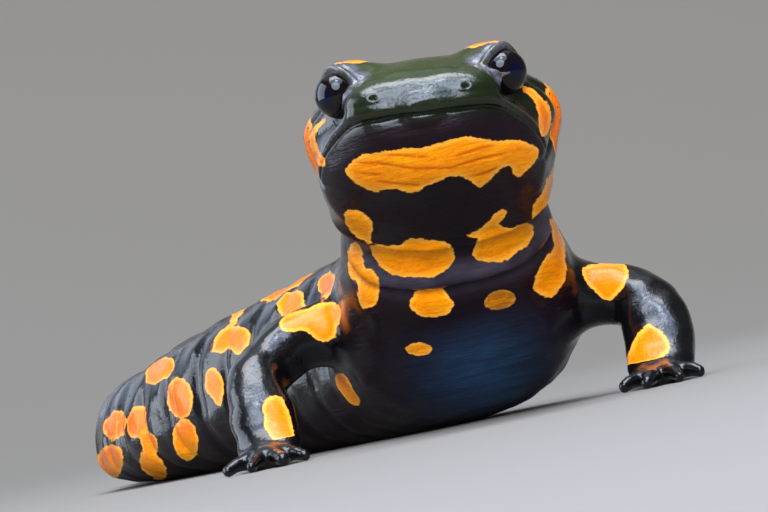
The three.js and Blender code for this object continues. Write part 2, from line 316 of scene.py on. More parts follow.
@dataclass
class Head:
    """Skull, jaw, brows, glands, lids, mouth line and nostrils, in the head's own frame.

    That frame has its origin midway between the eyes, x to the animal's left, y to the nape.
    """

    origin: Row = (5.6, -2.0, 27.0)
    roll_deg: float = 4.4
    turn_deg: float = -3.0
    cranium: Sequence[Row] = (
        (0, -6.1, -2.0, 2.6, 0.7, 0.7), (0, -5.5, -1.95, 4.2, 1.3, 1.0),
        (0, -4.6, -1.8, 5.4, 1.95, 1.35),
        (0, -3.0, -1.6, 6.5, 2.7, 1.75),
        (0, -0.4, -1.9, 7.5, 3.85, 1.9), (0.1, 2.6, -2.9, 8.8, 5.0, 2.1),
        (0.2, 5.6, -3.9, 9.7, 5.3, 2.7), (0.2, 8.6, -4.9, 9.0, 5.0, 3.4),
        (0.1, 11.6, -6.4, 7.6, 4.2, 3.4))
    jaw: Sequence[Row] = (
        (0, -6.1, -3.7, 2.8, 0.6, 0.55), (0, -5.5, -4.0, 4.5, 0.95, 1.3),
        (0, -3.9, -4.4, 6.2, 1.3, 2.4), (0, -1.4, -5.2, 7.9, 1.9, 3.2),
        (0, 1.8, -6.2, 9.0, 2.6, 3.8), (0, 4.8, -7.6, 8.9, 3.2, 4.2),
        (0, 7.6, -9.4, 8.5, 3.0, 3.8))
    face: Sequence[Row] = (
        (0, -6.1, -2.9, 2.6, 0.8, 1.1), (0, -5.5, -2.95, 4.3, 1.3, 1.7),
        (0, -4.4, -3.05, 5.8, 1.7, 2.1), (0, -2.6, -3.3, 7.1, 1.95, 2.6),
        (0, 0.0, -3.9, 8.2, 2.3, 3.1), (0.1, 2.8, -4.7, 9.0, 2.8, 3.5),
        (0.2, 5.6, -5.8, 9.2, 3.4, 3.7), (0.2, 8.4, -7.2, 8.7, 3.4, 3.7))
    brow: Row = (5.2, 0.5, 0.2, 2.65, 3.1, 2.2)
    gland: Row = (7.1, 5.6, -3.2, 2.9, 4.6, 2.7)
    gland_shift: float = 0.2  # of both glands, to the animal's left
    muzzle: Row = (3.5, -4.5, -1.8, 2.1, 1.5, 1.2)
    tip: Row = (0.0, -3.9, -2.35, 4.9, 2.75, 1.85)
    eye_centre: Row = (6.27, -1.3, -0.34)
    eye_radius: float = 1.98
    rim_height: float = 0.1  # of the lower lid's edge over the eyeball
    rim_cut: float = 0.14  # how much deeper the face is cut back right under it
    dish_depth: float = 0.42  # of the shallow hollow in front of and under the eye
    dish_width: float = 1.2
    rim_thickness: float = 0.12
    tuck: float = 0.32  # how deep the skin passes under the eyeball inside the opening
    lid_thickness: float = 0.42
    gaze: Row = (0.8, -0.59, -0.1)
    toward_nose: Row = (-0.6, -0.8, -0.15)
    opening_deg: float = 74.0
    opens_to_nose: float = 12.0  # degrees more towards the inner corner,
    opens_below: float = 18.0  # more below
    closes_behind: float = 5.0  # and fewer towards the outer corner
    upper_fold: Row = (0.12, 15.0, 4.0)  # height in mm, degrees past the opening and half width
    lower_fold: Row = (0.10, 18.0, 4.5)
    low_lid_thickness: float = 0.16
    lid_reach: float = 3.0  # how far round the eyeball the lids are shaped
    nostril: Row = (3.55, -5.6, -1.3)
    mouth_front: tuple[float, float] = (-6.4, -3.0)  # the mouth line's y and z between the lips
    mouth_sag: float = 0.06
    mouth_corner: float = 1.8
    mouth_depth: float = 0.34
    mouth_width: float = 0.14
    mouth_fade: float = 1.6  # how far ahead of its corner the mouth line begins to fade
    lips: Sequence[Row] = ((0.14, 0.6, 0.45), (0.08, -0.6, 0.45), (-0.05, 1.25, 0.16))
    # each swell of the lips: its height, place above the mouth line and half width
    crease_depth: float = 0.035
    nostril_wide: float = 1.25  # width to height
    nostril_pit: Row = (0.26, 0.14)  # depth and half width
    nostril_rim: Row = (0.035, 0.34, 0.16)  # height, distance from the middle and half width
    chin_creases: Sequence[Sequence[tuple[float, float]]] = (
        ((-6.1, -5.75), (-3.8, -6.15), (-1.2, -6.9), (1.5, -7.2), (3.7, -6.8), (6.2, -6.55)),
        ((-4.6, -7.3), (-2.2, -7.9), (0.2, -8.3)), ((2.6, -8.1), (4.2, -7.8), (5.6, -7.4)),
        ((-4.9, -5.4), (-2.6, -5.7), (0.4, -6.3)), ((1.6, -6.5), (3.6, -6.1), (5.6, -5.9)),
        ((-6.2, -6.5), (-4.6, -6.8), (-3.4, -7.1)))
    cheek_depth: float = 0.3
    cheek_width: float = 0.7
    cheek_groove: Row = (4.2, -3.8, 0.25)  # its y and z at the deepest of its bow, and how it bows
    crease_width: float = 0.1
    crease_fade: float = 0.9

    def __post_init__(self) -> None:
        """Builds the shapes and the head's frame."""
        turn = Matrix.Rotation(math.radians(self.turn_deg), 3, "Z")
        roll = Matrix.Rotation(math.radians(self.roll_deg), 3, "Y")
        self.axes = np.array(turn @ roll)
        self.skull = Loft(self.cranium, domes=(0.04, 0.0), fillet=1.2)
        self.mandible = Loft(self.jaw, domes=(0.06, 0.0), fillet=1.2)
        self.cheeks = Loft(self.face, domes=(0.05, 0.0), fillet=1.4)
        self.snout = Ellipsoid(self.tip[:3], self.tip[3:], fillet=1.6)
        kinds = ((self.brow, 0.0, 1.1), (self.gland, self.gland_shift, 1.6), (self.muzzle, 0.0, 2.0))
        self.swellings = [Ellipsoid((side * x + shift, y, z), half, fillet=fillet)
                          for (x, y, z, *half), shift, fillet in kinds for side in (-1, 1)]

    def to_head(self, points: Array) -> Array:
        """Turns body coordinates into the head's own."""
        return (points - np.array(self.origin)) @ self.axes

    def to_body(self, points: Array) -> Array:
        """Turns the head's own coordinates into the body's."""
        return points @ self.axes.T + np.array(self.origin)

    def mouth_height(self, back: Array) -> Array:
        """Height of the mouth line where it is this far back from the eyes."""
        front, height = self.mouth_front
        return height - self.mouth_sag * (np.clip(back, front, self.mouth_corner + 2.0) - front) ** 2

    def field(self, points: Array) -> Array:
        """Field of the head without neck, points in the head's frame."""
        total = joined([self.skull], points)
        total = joined(self.swellings, points, total)
        return joined([self.snout, self.mandible, self.cheeks], points, total)

    def eye_axes(self, side: float) -> tuple[Array, Array, Array]:
        """Unit vectors out along the gaze, towards the eye's inner corner, and up across it."""
        ahead = np.array(self.gaze) * (side, 1, 1)
        ahead /= np.linalg.norm(ahead)
        inward = np.array(self.toward_nose) * (side, 1, 1)
        inward -= (inward @ ahead) * ahead
        inward /= np.linalg.norm(inward)
        upward = np.cross(ahead, inward)
        return ahead, inward, upward * np.sign(upward[2])

    def lids(self, points: Array, total: Array) -> Array:
        """Wraps lids round each eyeball and opens them.

        Args:
            points: in the head's frame.
            total: the head's field so far.

        Returns:
            The field with the lids' folds and the open sockets.
        """
        for side in SIDES:
            offset = points - np.array(self.eye_centre) * (side, 1, 1)
            far = np.linalg.norm(offset, axis=1)
            chosen = far < self.eye_radius + self.lid_reach
            if not chosen.any():
                continue
            q, r = offset[chosen], far[chosen]
            ahead, inward, upward = self.eye_axes(side)
            unit = q / np.maximum(r, TINY)[:, None]
            angle = np.degrees(np.arccos(np.clip(unit @ ahead, -1, 1)))
            spread = np.maximum(np.hypot(unit @ inward, unit @ upward), TINY)
            to_nose, to_brow = unit @ inward / spread, unit @ upward / spread
            limit = self.opening_deg + self.opens_to_nose * ramp(to_nose, 0.35, 1.0)
            limit += self.opens_below * ramp(-to_brow, 0.2, 0.9)
            limit -= self.closes_behind * ramp(-to_nose, 0.0, 1.0)
            below = ramp(0.3 * to_nose - 0.95 * to_brow, -0.3, 0.6)
            face = total[chosen] + self.dish_depth * bump(r - self.eye_radius, self.dish_width) * below
            bare = self.field(points[chosen] + (self.eye_radius + self.rim_height - r)[:, None] * unit)
            bare += (self.dish_depth + self.rim_cut) * below
            lid = ramp(0.75 * to_brow + 0.65 * to_nose, -0.1, 0.8)
            low_lid = ramp(0.6 * to_nose - 0.8 * to_brow, 0.1, 0.8)
            thick = self.rim_thickness + self.lid_thickness * lid + self.low_lid_thickness * low_lid
            ball = smooth_min(face, r - self.eye_radius - thick, 0.6)
            for (height, past, width), share in ((self.upper_fold, lid), (self.lower_fold, low_lid)):
                ball += height * bump(angle - limit - past, width) * share
            opening = np.minimum(np.radians(limit - angle) * np.maximum(r, 0.5), bare)
            reach = self.eye_radius + self.rim_height + self.rim_cut + 0.1
            ball = smooth_max(ball, np.minimum(opening, reach - r), 0.28)
            ball = smooth_min(ball, r - self.eye_radius + self.tuck, 0.1)
            total[chosen] = ball
        return total

    def sink(self, points: Array) -> Array:
        """How far creases press the skin in: mouth line, nostrils and the groove behind the cheek.

        Args:
            points: on the skin, in the head's frame.

        Returns:
            A depth in mm, negative where a lip or rim stands proud.
        """
        x, y, z = points.T
        off = z - self.mouth_height(y)
        length = 1 - ramp(y, self.mouth_corner - self.mouth_fade, self.mouth_corner)
        press = self.mouth_depth * bump(off, self.mouth_width) * length
        for height, above, width in self.lips:
            press -= height * bump(off - above, width) * length
        groove_y, groove_z, bow = self.cheek_groove
        groove_at = groove_y - bow * (z - groove_z) ** 2
        reach = window(z, (-8.0, -6.4), (-1.4, -0.4)) * ramp(np.abs(x), 5.5, 7.5)
        press += self.cheek_depth * bump(y - groove_at, self.cheek_width) * reach
        press += self.crease_depth * self.creases(points)
        (pit, pit_width), (rim, rim_at, rim_width) = self.nostril_pit, self.nostril_rim
        for side in SIDES:
            hole = np.hypot((x - side * self.nostril[0]) / self.nostril_wide, z - self.nostril[2])
            ahead = 1 - ramp(y, self.nostril[1], self.nostril[1] + 2.0)
            press += (pit * bump(hole, pit_width) - rim * bump(hole - rim_at, rim_width)) * ahead
        return press

    def creases(self, points: Array) -> Array:
        """How near points lie to the fine creases of the chin: 1 on one, 0 away from all."""
        total = np.zeros(len(points))
        x, y, z = points.T
        for line in self.chin_creases:
            xs, zs = zip(*line)
            ends = window(x, (xs[0], xs[0] + self.crease_fade), (xs[-1] - self.crease_fade, xs[-1]))
            total = np.maximum(total, bump(z - np.interp(x, xs, zs), self.crease_width) * ends)
        return total * (1 - ramp(y, 0.0, 1.5))


@dataclass
class Torso:
    """Neck, trunk and tail on one curve, with gular fold, costal grooves and dorsal furrow."""

    stations: Sequence[Row] = (
        (5.9, 3.4, 21.6, 8.6, 5.4, 5.8), (5.6, 8.6, 18.5, 8.0, 5.9, 6.0),
        (5.3, 14.5, 14.0, 9.1, 7.0, 6.6), (5.0, 21.0, 9.6, 10.5, 9.5, 8.2),
        (2.4, 29.5, 7.2, 10.6, 10.2, 7.4), (-5.0, 38.5, 6.2, 10.6, 9.2, 6.5),
        (-13.2, 48.0, 5.2, 10.9, 8.1, 5.5), (-18.3, 57.0, 3.8, 11.1, 7.6, 4.1),
        (-20.4, 65.5, 3.6, 10.3, 7.3, 3.85), (-19.3, 73.0, 4.2, 8.2, 6.4, 4.4),
        (-16.2, 80.5, 5.0, 5.7, 5.2, 5.2), (-11.5, 89.5, 4.5, 4.7, 4.7, 4.7),
        (-6.1, 99.5, 4.0, 4.1, 4.1, 4.2), (-1.0, 110.0, 3.4, 3.5, 3.5, 3.6),
        (3.0, 121.0, 2.8, 2.9, 2.9, 3.0), (5.0, 132.0, 2.15, 2.2, 2.2, 2.35),
        (5.0, 143.0, 1.4, 1.45, 1.45, 1.6), (4.0, 150.5, 0.75, 0.6, 0.6, 0.85))
    power: float = 2.5
    groove_spacing: float = 3.9
    groove_depth: float = 0.36
    first_groove: float = 3.7
    last_groove: float = 9.2
    groove_fade: float = 0.6  # stations over which the grooves come and go
    back_share: float = 0.04  # of a groove's depth that is left on back and belly
    flank_deg: float = 55.0  # how far round a flank the grooves reach
    tail_share: float = 0.4  # of their depth, on the tail
    furrow_depth: float = 0.3
    furrow_deg: float = 9.0
    fold_station: float = 1.62
    station_mm: float = 8.0  # the length of a station at the throat
    fold_sag: float = 1.2  # how much further back the fold lies at the sides
    throat_folds: Sequence[Row] = (
        (0.55, 0.0, 0.5), (-0.35, -1.5, 1.1), (0.26, -6.9, 0.4), (-0.12, -8.2, 0.8))
    # each fold's depth, place behind the gular fold and half width

    def __post_init__(self) -> None:
        """Builds the loft."""
        self.loft = Loft(self.stations, power=self.power, domes=(0.0, 0.12), fillet=1.6)

    def place(self, points: Array) -> tuple[Array, Array, Array]:
        """Where points lie on the torso.

        Args:
            points: in body coordinates.

        Returns:
            The station number, the distance along the curve in mm, and the angle round it in
            degrees: 0 at the animal's left, 90 on the back, 180 at its right.
        """
        sample, across, above, _, sizes = self.loft.locate(points)
        samples = np.arange(len(self.loft.at))
        station = np.interp(sample, samples, self.loft.at)
        along = np.interp(sample, samples, self.loft.lengths)
        return station, along, np.degrees(np.arctan2(above / sizes[:, 1], across / sizes[:, 0]))

    def sink(self, points: Array) -> Array:
        """How far the costal grooves, the furrow of the back and the throat's folds press in.

        Args:
            points: on the skin, in body coordinates.

        Returns:
            A depth in mm, negative where a fold stands proud.
        """
        station, along, angle = self.place(points)
        off_flank = np.abs(np.abs(angle) - 90) - 90
        flank = self.back_share + (1 - self.back_share) * bump(off_flank, self.flank_deg)
        phase = along / self.groove_spacing
        valley = 0.5 + 0.5 * np.cos(2 * np.pi * phase)
        first, last, fade = self.first_groove, self.last_groove, self.groove_fade
        on_trunk = window(station, (first, first + fade), (last - fade, last))
        on_tail = window(station, (10.0, 11.0), (14.0, 16.0))
        press = self.groove_depth * valley**4 * flank * (on_trunk + self.tail_share * on_tail)
        on_back = bump(angle - 90, self.furrow_deg) * window(station, (2.4, 4.0), (8.5, 10.0))
        under = ramp(-np.sin(np.radians(angle)), -0.1, 0.5)
        across = (station - self.fold_station) * self.station_mm + self.fold_sag * (1 - under)
        folds = sum(depth * bump(across - at, width) for depth, at, width in self.throat_folds)
        return press + self.furrow_depth * on_back + under * folds


@dataclass
class Limb:
    """One leg: a bent loft, a low palm and its fingers."""

    name: str
    stations: Sequence[Row]
    paw_at: tuple[float, float]
    heading_deg: float
    fan_deg: Row
    reach: Row
    palm: Row = (2.7, 2.5, 1.15)
    palm_rise: float = 0.95
    wrist: Row = (1.2, 2.2, 0.95, 0.95)  # height, half width, above and below, over the palm
    finger_start: float = 1.9
    finger_length: float = 3.4
    finger_radii: tuple[float, float] = (0.74, 0.52)
    fillet: float = 1.7

    def __post_init__(self) -> None:
        """Builds the leg's shapes."""
        x, y = self.paw_at
        self.leg = Loft((*self.stations, (x, y, *self.wrist)), domes=(0.0, 0.1), fillet=1.8)
        palm = Ellipsoid((x, y, self.palm_rise), self.palm, turn_deg=self.heading_deg, fillet=0.9)
        self.paw: list[Shape] = [palm]
        root, tip = self.finger_radii
        for spread, share in zip(self.fan_deg, self.reach):
            way = math.radians(self.heading_deg + spread)
            end = self.finger_start + self.finger_length * share
            rows = ((0.4, 1.0, root * 1.1), (self.finger_start, 0.95, root),
                    ((self.finger_start + end) / 2, 0.8, (root + tip) / 2), (end - tip, 0.5, tip))
            cos, sin = math.cos(way), math.sin(way)
            self.paw.append(Finger([(x + far * cos, y + far * sin, z, radius) for far, z, radius in rows]))
        self.low = np.min([shape.low for shape in (self.leg, *self.paw)], axis=0)
        self.high = np.max([shape.high for shape in (self.leg, *self.paw)], axis=0)

    def field(self, points: Array) -> Array:
        """Field of leg, palm and fingers together."""
        return smooth_min(joined([self.leg], points), joined(self.paw, points), self.fillet)


LIMBS = (
    Limb("foreleg_left", (
        (8.5, 20.5, 8.6, 2.6, 2.6, 2.6), (13.2, 19.6, 8.6, 3.1, 3.0, 3.0),
        (17.2, 18.2, 8.2, 2.7, 2.6, 2.6), (19.9, 16.6, 6.9, 2.7, 2.6, 2.6),
        (20.6, 14.8, 4.9, 2.95, 2.6, 2.4), (20.4, 12.8, 3.0, 2.9, 2.1, 1.9),
        (20.1, 11.3, 1.9, 2.7, 1.4, 1.4)),
        (19.8, 9.9), -92, (-50, -17, 15, 46), (0.82, 1.0, 1.0, 0.8)),
    Limb("foreleg_right", (
        (0.5, 21.0, 9.6, 2.7, 2.7, 2.7), (-4.2, 20.6, 9.9, 3.0, 2.9, 3.0),
        (-8.6, 19.6, 9.6, 2.6, 2.5, 2.6), (-11.5, 17.9, 7.9, 2.45, 2.45, 2.45),
        (-12.7, 15.7, 6.2, 2.4, 2.5, 2.3), (-12.3, 13.4, 4.0, 2.75, 2.1, 1.9),
        (-12.2, 11.6, 2.2, 2.6, 1.45, 1.45)),
        (-12.5, 10.0), -88, (-52, -17, 15, 46), (0.82, 1.0, 1.0, 0.8)),
    Limb("hindleg_left", (
        (-15.7, 72.0, 5.4, 2.8, 2.8, 2.8), (-11.7, 70.5, 5.4, 3.1, 3.0, 3.1),
        (-7.6, 69.0, 5.6, 2.7, 2.6, 2.7), (-4.8, 69.9, 5.2, 2.4, 2.4, 2.4),
        (-4.0, 72.4, 3.9, 2.3, 2.2, 2.1), (-4.3, 75.4, 2.3, 1.9, 1.6, 1.6)),
        (-4.6, 77.4), 62, (-58, -30, -4, 21, 46), (0.7, 0.95, 1.1, 1.05, 0.75)),
    Limb("hindleg_right", (
        (-22.0, 71.5, 5.4, 2.8, 2.8, 2.8), (-24.7, 73.6, 5.4, 3.1, 3.0, 3.1),
        (-27.2, 77.0, 5.5, 2.7, 2.6, 2.7), (-28.1, 80.3, 4.9, 2.4, 2.4, 2.4),
        (-27.4, 83.3, 3.6, 2.2, 2.1, 2.0), (-26.4, 86.3, 2.1, 1.8, 1.5, 1.5)),
        (-25.9, 88.2), 100, (-50, -24, 1, 26, 52), (0.75, 1.05, 1.1, 0.95, 0.7)),
)


@dataclass
class Relief:
    """Low swells that keep living skin from looking turned on a lathe: a few seeded waves."""

    seed: int = 7
    waves: int = 14
    shortest: float = 1.6
    longest: float = 6.0
    height: float = 0.022

    def field(self, points: Array) -> Array:
        """Height of the swells at points, in mm."""
        rng = np.random.default_rng(self.seed)
        total = np.zeros(len(points))
        for _ in range(self.waves):
            way = rng.normal(size=3)
            way *= 2 * np.pi / rng.uniform(self.shortest, self.longest) / np.linalg.norm(way)
            total += self.height * np.sin(points @ way + rng.uniform(0, 2 * np.pi))
        return total


@dataclass
class Body:
    """The whole animal as one field."""

    head: Head = field(default_factory=Head)
    torso: Torso = field(default_factory=Torso)
    limbs: Sequence[Limb] = LIMBS
    relief: Relief = field(default_factory=Relief)
    slack: float = 0.05  # the skin stays this far inside the frame's solids
    head_fillet: float = 1.8
    evened: float = 0.12  # how much the mesh may be evened out anywhere,
    evened_lips: float = 0.4  # how much more on the lips
    evened_nape: float = 0.7  # and on the nape,
    nape: tuple[float, float] = (24.0, 5.5)  # which lies at this y and spreads this far

    def field(self, points: Array) -> Array:
        """Signed field of the skin at points, in body coordinates."""
        total = joined([self.torso.loft], points)
        total = joined(self.limbs, points, total)
        about_head = (points[:, 1] < 16.0) & (points[:, 2] > 8.0)
        in_head = self.head.to_head(points[about_head])
        part = smooth_min(total[about_head], self.head.field(in_head), self.head_fillet)
        total[about_head] = self.head.lids(in_head, part)
        return np.maximum(total + self.slack, -points[:, 2])

    def from_eye(self, in_head: Array) -> Array:
        """Distance from the middle of the nearer eyeball."""
        mirrored = np.column_stack([np.abs(in_head[:, 0]), in_head[:, 1:]])
        return np.linalg.norm(mirrored - np.array(self.head.eye_centre), axis=1)

    def softness(self, points: Array) -> Array:
        """How much the mesh may be evened out: most on lips and nape, not at all by lids and floor."""
        in_head = self.head.to_head(points)
        off = in_head[:, 2] - self.head.mouth_height(in_head[:, 1])
        lips = bump(off, 1.8) * (1 - ramp(in_head[:, 1], 2.5, 5.0)) * (points[:, 2] > 15.0)
        off_lids = ramp(self.from_eye(in_head), 2.3, 3.2)
        nape = bump(points[:, 1] - self.nape[0], self.nape[1]) * ramp(points[:, 2], 12.0, 14.5)
        share = self.evened + self.evened_lips * lips + self.evened_nape * nape
        return share * off_lids * ramp(points[:, 2], 0.3, 2.5)

    def sink(self, points: Array) -> Array:
        """How far every crease, fold and swell together move the skin in, in mm."""
        in_head = self.head.to_head(points)
        on_head = ramp(in_head[:, 2], -13.0, -10.5) * (1 - ramp(in_head[:, 1], 7.0, 10.0))
        off_limbs = np.ones(len(points))
        for limb in self.limbs:
            off_limbs = np.minimum(off_limbs, ramp(limb.field(points), 0.2, 1.2))
        press = self.torso.sink(points) * (1 - ramp(in_head[:, 2], -8.5, -7.0)) * off_limbs
        press += self.head.sink(in_head) * on_head
        swells = self.relief.field(points) * (1 - 0.5 * on_head) * ramp(self.from_eye(in_head), 2.2, 3.5)
        return (press + swells) * ramp(points[:, 2], 0.02, 0.5)


# ---------------------------------------------------------------- from field to mesh


@dataclass
class Skinner:
    """Draws a field's surface as a mesh, coarse first and then finer where it matters."""

    body: Body
    box: tuple[Array, Array]  # the frame's own lowest and highest corner, which the skin keeps to
    step: float = 0.45
    margin: float = 1.6
    front: float = -10.5  # where the grid begins, ahead of the snout
    top: float = 32.0  # where it ends, above the crown
    block: int = 4  # grid steps along a block's edge
    block_reach: float = 1.15  # a block is left out when the surface is further from its middle
    block_slack: float = 0.6  # than this many block widths and this many mm
    smooth_rounds: int = 2
    settle_rounds: int = 2
    slope_step: float = 0.03
    least_slope: float = 0.2  # of the field's squared slope, where it is nearly flat
    longest_move: float = 0.3
    relax_rounds: int = 12

    def coarse_grid(self) -> tuple[Array, Array, float]:
        """Samples the field on a grid, leaving out blocks that the surface doesn't cross.

        Returns:
            The grid's lowest corner, its values, and the value that it holds far from the surface.
        """
        shapes = (self.body.torso.loft, *self.body.limbs)
        low = np.min([shape.low for shape in shapes], axis=0) - self.margin
        high = np.max([shape.high for shape in shapes], axis=0) + self.margin
        low[1:] = self.front, -self.margin
        high[2] = self.top
        wide = self.step * self.block
        blocks = np.ceil((high - low) / wide).astype(int)
        middles = np.indices(blocks).reshape(3, -1).T * wide + low + (wide - self.step) / 2
        rough = self.body.field(middles)
        crossed = np.abs(rough) < wide * self.block_reach + self.block_slack
        band = 3 * self.step
        values = np.where(rough > 0, band, -band).reshape(blocks).astype(np.float32)
        for axis in range(3):
            values = np.repeat(values, self.block, axis=axis)
        cells = np.indices((self.block,) * 3).reshape(3, -1).T
        corners = np.argwhere(crossed.reshape(blocks)) * self.block
        index = (corners[:, None, :] + cells[None]).reshape(-1, 3)
        fine = self.body.field(index * self.step + low)
        values[tuple(index.T)] = np.clip(fine, -band, band)
        return low, values, band

    def surface(self) -> tuple[Array, Array]:
        """Meshes the coarse grid.

        Returns:
            Points in body coordinates, and the quads between them.
        """
        low, values, band = self.coarse_grid()
        grid = openvdb.FloatGrid(band)
        grid.copyFromArray(values)
        points, quads = grid.convertToQuads(0.0)
        return points.astype(float) * self.step + low, quads.astype(int)

    def settle(self, points: Array) -> Array:
        """Moves points near the surface onto it by Newton's method."""
        for _ in range(self.settle_rounds):
            value = self.body.field(points)
            ahead = [self.body.field(points + self.slope_step * axis) - value for axis in np.eye(3)]
            slope = np.stack(ahead, 1) / self.slope_step
            move = value / np.maximum((slope**2).sum(1), self.least_slope)
            points = points - np.clip(move, -self.longest_move, self.longest_move)[:, None] * slope
        return points

    def build(self, fine: Callable[[Array], Array], finer: Callable[[Array], Array]) -> bpy.types.Mesh:
        """Makes the mesh.

        Args:
            fine: says which points lie where faces are halved once.
            finer: says where they are halved again.

        Returns:
            A mesh in metres, in the frame.
        """
        points, quads = self.surface()
        mesh = bpy.data.meshes.new("skin")
        mesh.from_pydata(points.tolist(), [], quads.tolist())
        bm = bmesh.new()
        bm.from_mesh(mesh)
        self.keep_largest(bm)
        axes = {f"use_axis_{axis}": True for axis in "xyz"}
        for _ in range(self.smooth_rounds):
            bmesh.ops.smooth_vert(bm, verts=bm.verts, factor=0.5, **axes)
        move_all(bm, self.settle(places_of(bm)))
        for wanted in (fine, finer):
            self.halve(bm, wanted)
        bmesh.ops.recalc_face_normals(bm, faces=bm.faces)
        bm.normal_update()
        places = places_of(bm)
        edges = np.array([[v.index for v in e.verts] for e in bm.edges])
        places = self.relax(places, edges, self.body.softness(places))
        move_all(bm, places)
        bm.normal_update()
        normals = np.array([v.normal for v in bm.verts])
        places = (places - self.body.sink(places)[:, None] * normals - REST_POINT) * MM
        move_all(bm, np.clip(places, *self.box))
        bm.to_mesh(mesh)
        bm.free()
        shade_smooth(mesh)
        return mesh

    def halve(self, bm: bmesh.types.BMesh, wanted: Callable[[Array], Array]) -> None:
        """Halves the edges of the wanted faces and settles the mesh again."""
        bm.faces.ensure_lookup_table()
        middles = np.array([f.calc_center_median() for f in bm.faces])
        faces = [bm.faces[i] for i in np.flatnonzero(wanted(middles))]
        edges = list({e for f in faces for e in f.edges})
        bmesh.ops.subdivide_edges(bm, edges=edges, cuts=1, use_grid_fill=True)
        move_all(bm, self.settle(places_of(bm)))

    def relax(self, places: Array, edges: Array, share: Array) -> Array:
        """Evens the surface out by moving points towards the mean of their neighbours.

        Args:
            places: one point to a row.
            edges: the two point numbers of each edge.
            share: how much of the way each point goes in one round.

        Returns:
            The moved points.
        """
        ends, others = np.concatenate([edges, edges[:, ::-1]]).T
        count = np.bincount(ends, minlength=len(places))
        for _ in range(self.relax_rounds):
            sums = [np.bincount(ends, places[others, axis], len(places)) for axis in range(3)]
            mean = np.stack([total / count for total in sums], 1)
            places = places + share[:, None] * (mean - places)
        return places

    @staticmethod
    def keep_largest(bm: bmesh.types.BMesh) -> None:
        """Drops every shell but the largest."""
        left = set(bm.verts)
        shells = []
        while left:
            queue, shell = [left.pop()], set()
            while queue:
                vert = queue.pop()
                shell.add(vert)
                for edge in vert.link_edges:
                    other = edge.other_vert(vert)
                    if other in left:
                        left.discard(other)
                        queue.append(other)
            shells.append(shell)
        shells.sort(key=len)
        for shell in shells[:-1]:
            bmesh.ops.delete(bm, geom=list(shell), context="VERTS")


def places_of(bm: bmesh.types.BMesh) -> Array:
    """A bmesh's vertices, one to a row."""
    return np.array([vert.co for vert in bm.verts])


def move_all(bm: bmesh.types.BMesh, places: Array) -> None:
    """Moves a bmesh's vertices to places, one to a row."""
    for vert, place in zip(bm.verts, places):
        vert.co = place


def shade_smooth(mesh: bpy.types.Mesh) -> None:
    """Shades every face of a mesh smooth."""
    mesh.polygons.foreach_set("use_smooth", [True] * len(mesh.polygons))


def add_object(name: str, mesh: bpy.types.Mesh) -> bpy.types.Object:
    """Puts a mesh into the scene as an object."""
    made = bpy.data.objects.new(name, mesh)
    bpy.context.collection.objects.link(made)
    return made


# ---------------------------------------------------------------- the camera


@dataclass(frozen=True)
class View:
    """The camera: where it stands, and how it is tilted and rolled."""

    place: Row = (0.0, -270.0, 5.0)
    pitch: float = 0.0349
    roll_deg: float = 12.0
    pixels_per_radian: float = 3483.0
    sensor: float = 36.0

    def axes(self) -> tuple[Array, Array, Array]:
        """Unit vectors to the right of the frame, up it, and ahead."""
        ahead = np.array([0.0, 1.0, self.pitch])
        ahead /= np.linalg.norm(ahead)
        roll = math.radians(self.roll_deg)
        level = np.array([1.0, 0.0, 0.0])
        lift = np.cross(level, ahead)
        up = lift * math.cos(roll) + level * math.sin(roll)
        right = level * math.cos(roll) - lift * math.sin(roll)
        return right, up, ahead

    def ray(self, pixel: tuple[float, float]) -> Array:
        """Direction that a pixel of the 768 by 512 frame looks in."""
        right, up, ahead = self.axes()
        x = (pixel[0] - FRAME_WIDTH / 2) / self.pixels_per_radian
        y = (FRAME_HEIGHT / 2 - pixel[1]) / self.pixels_per_radian
        way = ahead + x * right + y * up
        return way / np.linalg.norm(way)

    def project(self, points: Array) -> tuple[Array, Array]:
        """Pixels of the 768 by 512 frame that points fall on, and their depths in mm."""
        right, up, ahead = self.axes()
        offset = points - np.array(self.place)
        depth = offset @ ahead
        x = FRAME_WIDTH / 2 + self.pixels_per_radian * (offset @ right) / depth
        y = FRAME_HEIGHT / 2 - self.pixels_per_radian * (offset @ up) / depth
        return np.stack([x, y], 1), depth

    def build(self) -> bpy.types.Object:
        """Makes the camera and takes the scene's view through it."""
        data = bpy.data.cameras.new("camera")
        data.sensor_width = self.sensor
        data.lens = self.pixels_per_radian * self.sensor / FRAME_WIDTH
        data.clip_start, data.clip_end = 0.01, 20.0
        camera = bpy.data.objects.new("camera", data)
        right, up, ahead = self.axes()
        turn = Matrix((right, up, -ahead)).transposed()
        where = Vector((np.array(self.place) - REST_POINT) * MM)
        camera.matrix_world = Matrix.Translation(where) @ turn.to_4x4()
        bpy.context.collection.objects.link(camera)
        bpy.context.scene.camera = camera
        return camera


# ---------------------------------------------------------------- markings


@dataclass(frozen=True)
class SeenPatch:
    """An orange patch with its outline in pixels of the 768 by 512 frame."""

    name: str
    outline: Sequence[tuple[float, float]]
    thickness: float = 3.0
    frontal: bool = False  # cast straight on from the camera, else its plane is fitted to the skin
    faint: float = 0.0  # how far its orange has faded into the black


def ellipse(x: float, y: float, wide: float, tall: float, lean_deg: float = 0.0) -> list[tuple[float, float]]:
    """Outline of a round spot.

    Args:
        x: its centre, in pixels to the right.
        y: its centre, in pixels down.
        wide: its full width before it leans.
        tall: its full height before it leans.
        lean_deg: how far it is turned, clockwise as seen.

    Returns:
        Eight points round it.
    """
    cos, sin = math.cos(math.radians(lean_deg)), math.sin(math.radians(lean_deg))
    points = []
    for k in range(8):
        a, b = wide / 2 * math.cos(k * math.pi / 4), tall / 2 * math.sin(k * math.pi / 4)
        points.append((x + a * cos - b * sin, y + a * sin + b * cos))
    return points


